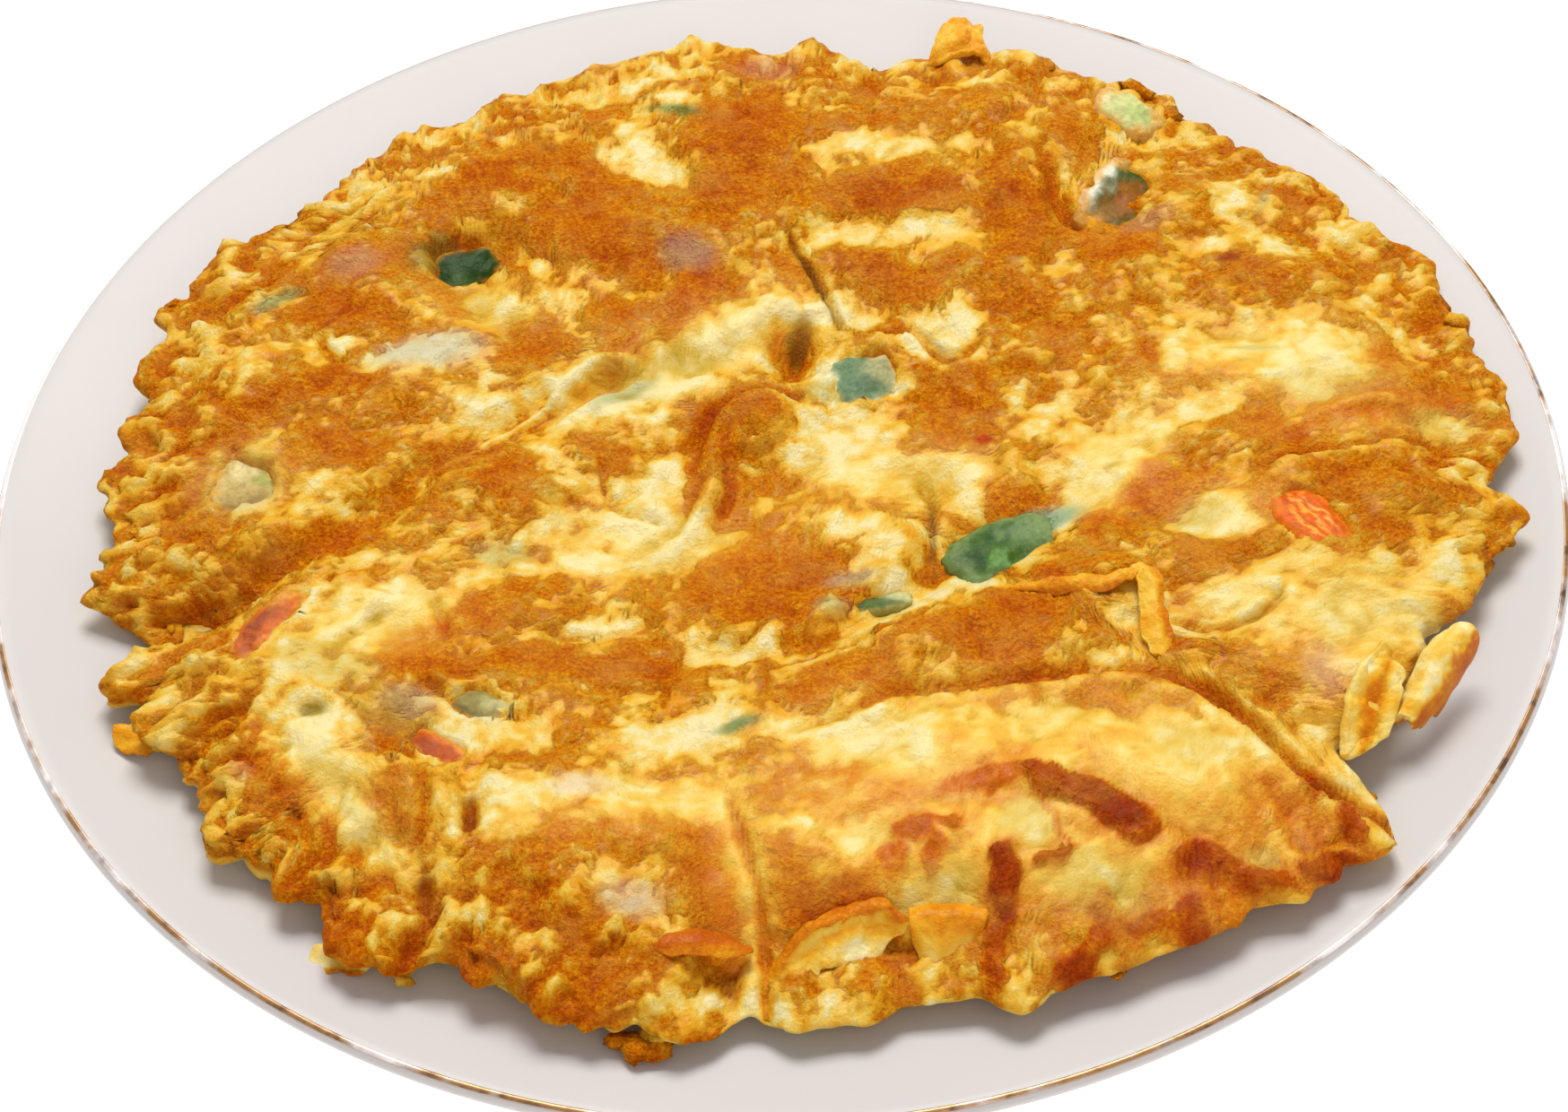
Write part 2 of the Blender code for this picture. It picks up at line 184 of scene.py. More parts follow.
def blur(values: Numbers, reach: int, axis: int) -> Numbers:
    """Averages a grid of values along one axis.

    Args:
        values: the grid.
        reach: how many cells each way are averaged.
        axis: the axis, 0 or 1.

    Returns:
        The averaged grid, of the same size.
    """
    widths = [(reach + 1, reach) if i == axis else (0, 0) for i in range(2)]
    sums = np.cumsum(np.pad(values, widths, mode="edge"), axis=axis)
    count, window = values.shape[axis], 2 * reach + 1
    return (sums.take(range(window, window + count), axis) - sums.take(range(count), axis)) / window


def hand_over(obj: Piece, nodes: tuple[str, ...] = ()) -> Piece:
    """Makes a finished piece ride on the body, and hides the solids that it stands for.

    Args:
        obj: the finished piece.
        nodes: names of the solids that it replaces.

    Returns:
        The same piece.
    """
    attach(obj, BODY)
    if nodes:
        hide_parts(*nodes)
    log.info("%s: %d faces", obj.name, len(obj.data.polygons))
    return obj


def noise(points: Points, seed: int, size: float) -> Numbers:
    """Reads smooth seeded noise in space.

    Args:
        points: places in mm, one row each.
        seed: which noise.
        size: width in mm of one lump of the noise.

    Returns:
        One value for each point, between about -1 and 1.
    """
    chance = np.random.default_rng(seed)
    order = np.tile(chance.permutation(256), 3)
    slopes = chance.normal(size=(256, 3))
    slopes /= np.linalg.norm(slopes, axis=1)[:, None]
    scaled = points / size + chance.uniform(0, 100, 3)
    corner = np.floor(scaled).astype(int)
    inside = scaled - corner
    fade = inside**3 * (inside * (inside * 6 - 15) + 10)
    corner &= 255
    total = np.zeros(len(points))
    for place in np.ndindex(2, 2, 2):
        step = np.array(place)
        i, j, k = (corner + step).T
        pick = order[(order[(order[i] + j) % 512] + k) % 512]
        reach = np.einsum("ij,ij->i", slopes[pick], inside - step)
        share = np.prod(np.where(step == 1, fade, 1 - fade), axis=1)
        total += reach * share
    return total * 1.6


@dataclass(frozen=True)
class Grain:
    """Seeded unevenness in space, in layers: each half the size and gain times the strength of the last.

    The size of the first layer's lumps is in mm.
    """

    seed: int
    size: float
    layers: int = 1
    gain: float = 0.5

    def stack(self, points: Points) -> list[Numbers]:
        """Each layer's noise at some points, before its strength."""
        return [noise(points, self.seed + 31 * i, self.size / 2**i) for i in range(self.layers)]

    def at(self, points: Points) -> Numbers:
        """Soft unevenness at some points, about 0."""
        return sum(self.gain**i * layer for i, layer in enumerate(self.stack(points)))

    def billows(self, points: Points) -> Numbers:
        """The same noise folded up at 0: rounded lumps with sharp creases, about 0 to 1."""
        return sum(self.gain**i * np.abs(layer) for i, layer in enumerate(self.stack(points)))


# ---------------------------------------------------------------------------------------------------
# Finishes


def set_inputs(tree: Tree, node: Node, inputs: dict) -> None:
    """Fills a node's input sockets.

    Args:
        tree: the material's node tree.
        node: the node.
        inputs: for each socket name or number, a value, or the output socket or node that is linked to
            it. A node stands for its first output.
    """
    for name, value in inputs.items():
        source = value.outputs[0] if isinstance(value, Node) else value
        if isinstance(source, bpy.types.NodeSocket):
            tree.links.new(source, node.inputs[name])
        else:
            node.inputs[name].default_value = source


def add_node(tree: Tree, kind: str, inputs: dict | None = None, **settings: object) -> Node:
    """Adds one shader node.

    Args:
        tree: the material's node tree.
        kind: the node's type name without its ShaderNode start.
        inputs: what fills its sockets, as set_inputs takes it.
        **settings: the node's own settings.

    Returns:
        The new node.
    """
    made = tree.nodes.new("ShaderNode" + kind)
    for name, value in settings.items():
        setattr(made, name, value)
    set_inputs(tree, made, inputs or {})
    return made


def new_material(name: str) -> tuple[Finish, Tree, Node]:
    """Makes an empty material with a Principled shader on its output.

    Args:
        name: the material's name.

    Returns:
        The material, its node tree and its shader.
    """
    material = bpy.data.materials.new(name)
    material.use_nodes = True
    tree = material.node_tree
    return material, tree, tree.nodes["Principled BSDF"]


@dataclass(frozen=True)
class FriedEgg:
    """Set egg and flour batter fried in oil: pale and moist where thin or sunk, crusted where it browned.

    The crust is dry and grainy, with grains of about 0.8 mm, and breaks off sharply at the edge of a patch.
    """

    name: str = "fried egg batter"
    tones: tuple[tuple[float, str], ...] = (
        (0.00, "#F8E8A8"),
        (0.10, "#F6DA7C"),
        (0.22, "#F4C84E"),
        (0.34, "#F1B52A"),
        (0.47, "#EEA216"),
        (0.62, "#E28A04"),
        (0.80, "#D47200"),
        (1.00, "#C45A00"),
        (1.25, "#B44600"),
        (1.60, "#983200"),
    )
    dust_and_sheen: str = "#E8A23C"
    most_dust_and_sheen: float = 0.50
    crust_from: float = 0.40
    crust_to: float = 0.62
    crust_contrast: float = 0.14
    moist_roughness: float = 0.34
    crust_roughness: float = 0.60
    moist_coat: float = 0.26
    crust_coat: float = 0.02
    grain_mm: float = 0.75
    border_mm: float = 4.0
    wrinkle_mm: float = 2.8
    cloud_mm: float = 9.0
    soft_mm: float = 6.0
    border_swing: float = 0.18
    grain_swing: float = 0.36
    soft_swing: float = 0.16
    relief_mm: float = 1.0
    film_mm: float = 0.3

    def pattern(self, tree: Tree, size: float, detail: float, swing: float = 1.0) -> tuple[Node, Node]:
        """Adds an uneven pattern over the piece.

        Args:
            tree: the material's node tree.
            size: size of the pattern's lumps in mm.
            detail: how many finer layers it has.
            swing: about how far each way the first result goes from 0.

        Returns:
            The pattern spread evenly about 0, and the same pattern from 0 to 1.
        """
        place = add_node(tree, "TexCoord").outputs["Object"]
        scale = 1 / (size * MM)
        layers = {"Vector": place, "Scale": scale, "Detail": detail, "Roughness": 0.66}
        lumps = add_node(tree, "TexNoise", layers)
        ends = {"Value": lumps, 1: 0.3, 2: 0.7, 3: -swing, 4: swing}
        return add_node(tree, "MapRange", ends, clamp=False), lumps

    def colour(self, tree: Tree, crust: Node, grain: Node) -> bpy.types.NodeSocket:
        """Adds the nodes that turn browning into colour, with a pale oily dusting on the crust that is partly
        painted sheen, and tints over all.

        Args:
            tree: the material's node tree.
            crust: how crusted each place is, from 0 to 1.
            grain: the crust's grain, spread about 0.

        Returns:
            The socket that holds the colour.
        """
        level = add_node(tree, "Attribute", attribute_name="browning").outputs["Fac"]
        dry = add_node(tree, "Attribute", attribute_name="dryness").outputs["Fac"]
        stain_and_shade = add_node(tree, "Attribute", attribute_name="stain_and_shade")
        soft, _ = self.pattern(tree, self.soft_mm, 5.0, self.soft_swing)
        softened = add_node(tree, "Math", {0: level, 1: soft}, operation="ADD")
        half_dry = add_node(tree, "Math", {0: dry, 1: 0.5}, operation="MULTIPLY")
        beyond = add_node(tree, "Math", {0: crust, 1: half_dry}, operation="SUBTRACT")
        contrast = {0: beyond, 1: self.crust_contrast, 2: softened}
        parted = add_node(tree, "Math", contrast, operation="MULTIPLY_ADD")
        # Raised grains are paler: partly the crust's own grain colour, partly painted highlight on the grain
        # tops.
        grain_tone_and_highlight = add_node(tree, "Math", {0: crust, 1: -0.70, 2: -0.20}, operation="MULTIPLY_ADD")
        toned = add_node(tree, "Math", {0: grain, 1: grain_tone_and_highlight, 2: parted}, operation="MULTIPLY_ADD")
        top_level = self.tones[-1][0]
        scaled = add_node(tree, "Math", {0: toned, 1: 1 / top_level}, operation="MULTIPLY")
        ramp = add_node(tree, "ValToRGB", {"Fac": scaled})
        while len(ramp.color_ramp.elements) < len(self.tones):
            ramp.color_ramp.elements.new(0.5)
        for element, (where, tone) in zip(ramp.color_ramp.elements, self.tones):
            element.position = where / top_level
            element.color = linear(tone)
        # A pale oily dusting in clouds on the crust, partly the crust's own colour and partly painted sheen.
        _, clouds = self.pattern(tree, self.cloud_mm, 6.0)
        dust_and_sheen_share = add_node(tree, "MapRange", {"Value": clouds, 1: 0.48, 2: 0.68, 3: 0.0, 4: self.most_dust_and_sheen})
        on_crust = add_node(tree, "Math", {0: dust_and_sheen_share, 1: crust}, operation="MULTIPLY")
        dusted_and_sheened = add_node(tree, "Mix", {"Factor": on_crust, 6: ramp, 7: linear(self.dust_and_sheen)}, data_type="RGBA")
        # The last tint over all holds real tints and also painted shade in hollows, slits and pits.
        tint = {"Factor": stain_and_shade.outputs["Alpha"], 6: dusted_and_sheened.outputs[2], 7: stain_and_shade.outputs["Color"]}
        return add_node(tree, "Mix", tint, data_type="RGBA").outputs[2]

    def make(self) -> Finish:
        """Builds the material.

        Returns:
            The material.
        """
        material, tree, shader = new_material(self.name)
        level = add_node(tree, "Attribute", attribute_name="browning").outputs["Fac"]
        dry = add_node(tree, "Attribute", attribute_name="dryness").outputs["Fac"]
        border, _ = self.pattern(tree, self.border_mm, 7.0, self.border_swing)
        ragged = add_node(tree, "Math", {0: level, 1: border}, operation="ADD")
        ends = {"Value": ragged, 1: self.crust_from, 2: self.crust_to}
        crusted = add_node(tree, "MapRange", ends, interpolation_type="SMOOTHSTEP")
        crust = add_node(tree, "Math", {0: crusted, 1: dry}, operation="MULTIPLY")
        grain, grain_lumps = self.pattern(tree, self.grain_mm, 3.0, self.grain_swing)

        _, wrinkles = self.pattern(tree, self.wrinkle_mm, 7.0)
        grain_height = add_node(tree, "Math", {0: crust, 1: 1.00, 2: 0.20}, operation="MULTIPLY_ADD")
        wrinkle_height = add_node(tree, "Math", {0: dry, 1: 0.90, 2: 0.60}, operation="MULTIPLY_ADD")
        grains = add_node(tree, "Math", {0: grain_lumps, 1: grain_height}, operation="MULTIPLY")
        wrinkled = {0: wrinkles, 1: wrinkle_height, 2: grains}
        relief = add_node(tree, "Math", wrinkled, operation="MULTIPLY_ADD")
        relief = add_node(tree, "Math", {0: crust, 1: 0.12, 2: relief}, operation="MULTIPLY_ADD")
        bump = add_node(tree, "Bump", {"Height": relief, "Distance": self.relief_mm * MM, "Strength": 1.0})
        film = add_node(tree, "Bump", {"Height": wrinkles, "Distance": self.film_mm * MM, "Strength": 1.0})
        rough = {"Value": crust, 3: self.moist_roughness, 4: self.crust_roughness}
        coat = {"Value": crust, 3: self.moist_coat, 4: self.crust_coat}
        looks = {
            "Base Color": self.colour(tree, crust, grain),
            "Roughness": add_node(tree, "MapRange", rough),
            "Coat Weight": add_node(tree, "MapRange", coat),
            "Normal": bump,
            "Coat Normal": film,
            "IOR": 1.45,
            "Specular IOR Level": 0.05,
            "Coat Roughness": 0.22,
            "Subsurface Weight": 0.07,
            "Subsurface Radius": (1.0, 0.5, 0.12),
            "Subsurface Scale": 2.0 * MM,
        }
        set_inputs(tree, shader, looks)
        return material


@dataclass(frozen=True)
class CookedVegetable:
    """A cut piece of vegetable or ham, soft and moist from the pan, in the colours held at its points."""

    name: str = "cooked vegetable"
    roughness: float = 0.32
    fibre_mm: float = 1.1
    relief_mm: float = 0.35
    mottling: float = 0.25

    def make(self) -> Finish:
        """Builds the material.

        Returns:
            The material.
        """
        material, tree, shader = new_material(self.name)
        place = add_node(tree, "TexCoord").outputs["Object"]
        tone = add_node(tree, "Attribute", attribute_name="tone").outputs["Color"]
        scale = 1 / (self.fibre_mm * MM)
        layers = {"Vector": place, "Scale": scale, "Detail": 5.0, "Roughness": 0.6}
        fibres = add_node(tree, "TexNoise", layers)
        ends = {"Value": fibres, 1: 0.3, 2: 0.7, 3: 1 - self.mottling, 4: 1 + self.mottling}
        shade = add_node(tree, "MapRange", ends)
        mottled = add_node(tree, "VectorMath", {0: tone, "Scale": shade}, operation="SCALE")
        relief = {"Height": fibres, "Distance": self.relief_mm * MM, "Strength": 0.8}
        looks = {
            "Base Color": mottled,
            "Normal": add_node(tree, "Bump", relief),
            "Roughness": self.roughness,
            "IOR": 1.42,
            "Specular IOR Level": 0.18,
            "Subsurface Weight": 0.1,
            "Subsurface Radius": (0.6, 0.8, 0.3),
            "Subsurface Scale": 1.5 * MM,
        }
        set_inputs(tree, shader, looks)
        return material


@dataclass(frozen=True)
class GlazedPorcelain:
    """Fired white porcelain under a clear glaze: a little cool, very smooth, with slight pooling of glaze."""

    name: str = "glazed porcelain"
    body: str = "#CECBC9"
    cool: str = "#C9C6C6"
    pooling_mm: float = 38.0
    ripple_mm: float = 14.0
    ripple_height_mm: float = 0.05
    roughness: float = 0.16

    def make(self) -> Finish:
        """Builds the material.

        Returns:
            The material.
        """
        material, tree, shader = new_material(self.name)
        place = add_node(tree, "TexCoord").outputs["Object"]
        broad = {"Vector": place, "Scale": 1 / (self.pooling_mm * MM), "Detail": 2.0}
        pooling = add_node(tree, "TexNoise", broad)
        tint = {"Factor": pooling, 6: linear(self.body), 7: linear(self.cool)}
        small = {"Vector": place, "Scale": 1 / (self.ripple_mm * MM), "Detail": 1.0}
        ripple = add_node(tree, "TexNoise", small)
        relief = {"Height": ripple, "Distance": self.ripple_height_mm * MM, "Strength": 0.5}
        looks = {
            "Base Color": add_node(tree, "Mix", tint, data_type="RGBA").outputs[2],
            "Normal": add_node(tree, "Bump", relief),
            "Roughness": self.roughness,
            "Specular IOR Level": 0.07,
            "IOR": 1.52,
        }
        set_inputs(tree, shader, looks)
        return material


@dataclass(frozen=True)
class WornGilding:
    """A brushed line of gilt fired on the glaze, rubbed to dark bole and bare glaze by years of washing."""

    name: str = "worn gilding"
    gold: str = "#BE9266"
    bole: str = "#5E4634"
    bare: str = "#ECE7E6"
    patch_mm: float = 16.0
    streak_mm: float = 5.0
    sheen: float = 0.7
    roughness: float = 0.3

    def make(self) -> Finish:
        """Builds the material.

        Returns:
            The material.
        """
        material, tree, shader = new_material(self.name)
        place = add_node(tree, "TexCoord").outputs["Object"]
        wear = add_node(tree, "Attribute", attribute_name="wear").outputs["Fac"]
        lumps = {"Vector": place, "Scale": 1 / (self.patch_mm * MM), "Detail": 5.0, "Roughness": 0.6}
        patchy = add_node(tree, "TexNoise", lumps)
        worn_by = add_node(tree, "Math", {0: wear, 1: patchy}, operation="ADD")
        rubbed = add_node(tree, "MapRange", {"Value": worn_by, 1: 0.86, 2: 1.02})
        lines = {"Vector": place, "Scale": 1 / (self.streak_mm * MM), "Detail": 3.0, "Roughness": 0.6}
        streaks = add_node(tree, "TexNoise", lines)
        darkened = add_node(tree, "MapRange", {"Value": streaks, 1: 0.48, 2: 0.62, 4: 0.8})
        gilt = {"Factor": darkened, 6: linear(self.gold), 7: linear(self.bole)}
        metal = add_node(tree, "Mix", gilt, data_type="RGBA").outputs[2]
        worn = {"Factor": rubbed, 6: metal, 7: linear(self.bare)}
        looks = {
            "Base Color": add_node(tree, "Mix", worn, data_type="RGBA").outputs[2],
            "Metallic": add_node(tree, "MapRange", {"Value": rubbed, 3: self.sheen, 4: 0.0}),
            "Roughness": self.roughness,
        }
        set_inputs(tree, shader, looks)
        return material


# ---------------------------------------------------------------------------------------------------
# The plate


@dataclass
class Plate:
    """A 270 mm dinner plate: flat well, sloping flange, rounded lip with a worn gilt line, foot ring."""

    rim_r: float = 135.0
    rim_z: float = 20.0
    well_z: float = 6.0
    well_r: float = 78.0
    shoulder_r: float = 104.0
    wall_rise: float = 5.0
    flange_power: float = 1.4
    wall: float = 3.8
    lip_r: float = 1.4
    foot_outer_r: float = 86.0
    foot_inner_r: float = 79.0
    foot_h: float = 2.2
    gilt_from: float = 54.0
    gilt_to: float = 92.0
    gilt_above: float = 0.07
    gilt_below: float = 0.2
    steps: int = 240
    wear: tuple[tuple[float, float], ...] = (
        *((0, 0.40), (50, 0.45), (85, 0.60), (110, 0.75), (165, 0.7), (195, 0.42)),
        *((250, 0.38), (300, 0.36), (360, 0.40)),
    )

    def top(self, radius: Numbers) -> Numbers:
        """The height of the upper surface.

        Args:
            radius: distances from the axis.

        Returns:
            The height at each of them.
        """
        along_flange = np.clip((radius - self.well_r) / (self.rim_r - self.well_r), 0, 1)
        rise = self.rim_z - self.well_z - self.wall_rise
        wall = self.wall_rise * smooth_step(self.well_r, self.shoulder_r, radius)
        return self.well_z + wall + rise * along_flange**self.flange_power

    def lip(self, first: float, last: float, count: int, outset: float = 0.0) -> list[tuple[float, float]]:
        """Goes round the lip.

        Args:
            first: the angle above the horizon where it starts, in degrees.
            last: the angle where it ends.
            count: how many points.
            outset: how far outside the lip's surface the points lie.

        Returns:
            The points, as distance from the axis and height.
        """
        centre_r = self.rim_r - self.lip_r
        centre_z = float(self.top(np.array(centre_r))) - self.lip_r
        reach = self.lip_r + outset
        turns = np.radians(np.linspace(first, last, count))
        return [(centre_r + reach * math.cos(t), centre_z + reach * math.sin(t)) for t in turns]

    def section(self) -> list[tuple[float, float]]:
        """Draws the half section: out along the top, round the lip, and back under the foot ring.

        Returns:
            The points, as distance from the axis and height.
        """
        radii = [0, 40, 70, *np.linspace(self.well_r, self.rim_r - self.lip_r, 26)]
        outline = [(r, float(self.top(np.array(r)))) for r in radii]
        outline += self.lip(72, -90, 10)
        under = np.linspace(self.rim_r - 5, self.foot_outer_r + 3, 12)
        outline += [(r, float(self.top(np.array(r))) - self.wall) for r in under]
        outline += [
            (self.foot_outer_r + 0.6, self.foot_h + 0.5),
            (self.foot_outer_r, self.foot_h - 0.6),
            (self.foot_outer_r - 0.5, 0.4),
            (self.foot_outer_r - 1.2, 0),
            (self.foot_inner_r + 1.2, 0),
            (self.foot_inner_r + 0.3, 0.4),
            (self.foot_inner_r - 0.6, self.foot_h - 0.4),
            (self.foot_inner_r - 1.6, self.foot_h),
            (0, self.foot_h),
        ]
        return outline

    def turn(self, name: str, outline: list[tuple[float, float]], closed: bool) -> Piece:
        """Spins a half section round the upright axis into a mesh.

        Args:
            name: the piece's name.
            outline: distance from the axis and height of each point, in mm.
            closed: whether the section is a loop, as a ring's is.

        Returns:
            The turned piece.
        """
        mesh = bpy.data.meshes.new(name)
        count = len(outline)
        edges = [(i, (i + 1) % count) for i in range(count if closed else count - 1)]
        mesh.from_pydata([(r * MM, 0, z * MM) for r, z in outline], edges, [])
        piece = new_piece(name, mesh)
        bpy.ops.object.mode_set(mode="EDIT")
        bpy.ops.mesh.select_all(action="SELECT")
        bpy.ops.mesh.spin(steps=self.steps, angle=2 * math.pi, center=(0, 0, 0), axis=(0, 0, 1))
        bpy.ops.mesh.select_all(action="SELECT")
        bpy.ops.mesh.remove_doubles(threshold=0.02 * MM)
        bpy.ops.mesh.normals_make_consistent(inside=False)
        bpy.ops.object.mode_set(mode="OBJECT")
        bpy.ops.object.shade_smooth()
        return piece

    def build(self) -> None:
        """Builds and dresses the plate."""
        plate = self.turn("dinner_plate", self.section(), closed=False)
        plate.data.materials.append(GlazedPorcelain().make())
        hand_over(plate, ("plate",))

    def gild(self) -> None:
        """Lays the gilt line on the lip, with how far it is worn at each bearing."""
        outer = self.lip(self.gilt_to, self.gilt_from, 6, outset=self.gilt_above)
        inner = self.lip(self.gilt_from, self.gilt_to, 6, outset=-self.gilt_below)
        line = self.turn("gilt_line", outer + inner, closed=True)
        points = read_points(line)
        bearing = np.degrees(np.arctan2(points[:, 1], points[:, 0])) % 360
        write_level(line, "wear", np.interp(bearing, *zip(*self.wear)))
        line.data.materials.append(WornGilding().make())
        hand_over(line)


# ---------------------------------------------------------------------------------------------------
# The omelette's form


@dataclass(frozen=True)
class Oval:
    """A soft-edged oval on the omelette's top, in mm and degrees, with a strength at its middle."""

    x: float
    y: float
    half_length: float
    half_width: float
    turn: float = 0.0
    strength: float = 1.0

    def place(self, x: Numbers, y: Numbers) -> tuple[Numbers, Numbers]:
        """Turns places into the oval's own lengths.

        Args:
            x: where the places are, along X.
            y: where they are, along Y.

        Returns:
            How far along and how far across the oval they lie, 1 being at its end or side.
        """
        angle = math.radians(self.turn)
        dx, dy = x - self.x, y - self.y
        along = (dx * math.cos(angle) + dy * math.sin(angle)) / self.half_length
        across = (-dx * math.sin(angle) + dy * math.cos(angle)) / self.half_width
        return along, across

    def share(self, x: Numbers, y: Numbers, crispness: float = 1.3) -> Numbers:
        """How far places are inside the oval.

        Args:
            x: where the places are, along X.
            y: where they are, along Y.
            crispness: how suddenly the oval ends.

        Returns:
            1 at its middle, falling to 0 outside.
        """
        along, across = self.place(x, y)
        return np.exp(-((along**2 + across**2) ** crispness))


@dataclass(frozen=True)
class Fold:
    """A crease along a route, in mm, deepening from start to end, with a lip raised along its left side.

    A lip below 0 is raised along the right side instead, and depths below 0 make a ridge.
    """

    route: tuple[tuple[float, float], ...]
    half_width: float
    start_depth: float
    end_depth: float
    lip: float = 0.0

    def nearest(self, x: Numbers, y: Numbers, line: Points) -> tuple[Numbers, Numbers, Numbers]:
        """Finds the nearest place on the route.

        Args:
            x: where the places are, along X.
            y: where they are, along Y.
            line: the route's points.

        Returns:
            How far off it is, on which side (1 is left and -1 is right), and how far along from 0 to 1.
        """
        lengths = np.linalg.norm(np.diff(line, axis=0), axis=1)
        reached = np.concatenate([[0], np.cumsum(lengths)]) / lengths.sum()
        nearest = np.full(len(x), np.inf)
        side, along = np.zeros(len(x)), np.zeros(len(x))
        for i, (start, end) in enumerate(zip(line, line[1:])):
            step = end - start
            share = np.clip(((x - start[0]) * step[0] + (y - start[1]) * step[1]) / (step @ step), 0, 1)
            off_x, off_y = x - start[0] - share * step[0], y - start[1] - share * step[1]
            away = np.hypot(off_x, off_y)
            closer = away < nearest
            nearest = np.where(closer, away, nearest)
            side = np.where(closer, np.sign(step[0] * off_y - step[1] * off_x), side)
            along = np.where(closer, reached[i] + share * (reached[i + 1] - reached[i]), along)
        return nearest, side, along

    def height(self, x: Numbers, y: Numbers) -> Numbers:
        """What the fold adds to the height of the top.

        Args:
            x: where the places are, along X.
            y: where they are, along Y.

        Returns:
            The height added at each.
        """
        line = smooth_line(self.route, 6 * len(self.route))
        reach = 4 * self.half_width + 6
        low, high = line.min(axis=0) - reach, line.max(axis=0) + reach
        near = (x > low[0]) & (x < high[0]) & (y > low[1]) & (y < high[1])
        away, side, along = self.nearest(x[near], y[near], line)
        depth = self.start_depth + (self.end_depth - self.start_depth) * along
        ends = smooth_step(0, 0.12, along) * smooth_step(0, 0.1, 1.0 - along * 0.999)
        cut = -depth * np.exp(-((away / self.half_width) ** 2))
        lip_away = (away - 1.5 * self.half_width) / (1.1 * self.half_width)
        raised = abs(self.lip) * np.exp(-(lip_away**2)) * (side * self.lip > 0)
        total = np.zeros(len(x))
        total[near] = (cut + raised) * (0.25 + 0.75 * ends)
        return total


@dataclass(frozen=True)
class Pocket:
    """Where a vegetable piece is set in the egg: the egg dips under it and rises round it."""

    oval: Oval
    dip: float = 2.4
    rim: float = 0.7

    def height(self, x: Numbers, y: Numbers, wobble: Numbers) -> Numbers:
        """What the pocket adds to the height of the top.

        Args:
            x: where the places are, along X.
            y: where they are, along Y.
            wobble: what makes its rim uneven, about 0.

        Returns:
            The height added at each.
        """
        along, across = self.oval.place(x, y)
        away = (np.abs(along) ** 3 + np.abs(across) ** 3) ** (1 / 3) + 0.34 * wobble
        dip = -self.dip * (1 - smooth_step(0.66, 0.94, away))
        rim = self.rim * np.exp(-(((away - 1.05) / 0.2) ** 2)) * (0.7 + 0.7 * wobble)
        return dip + rim


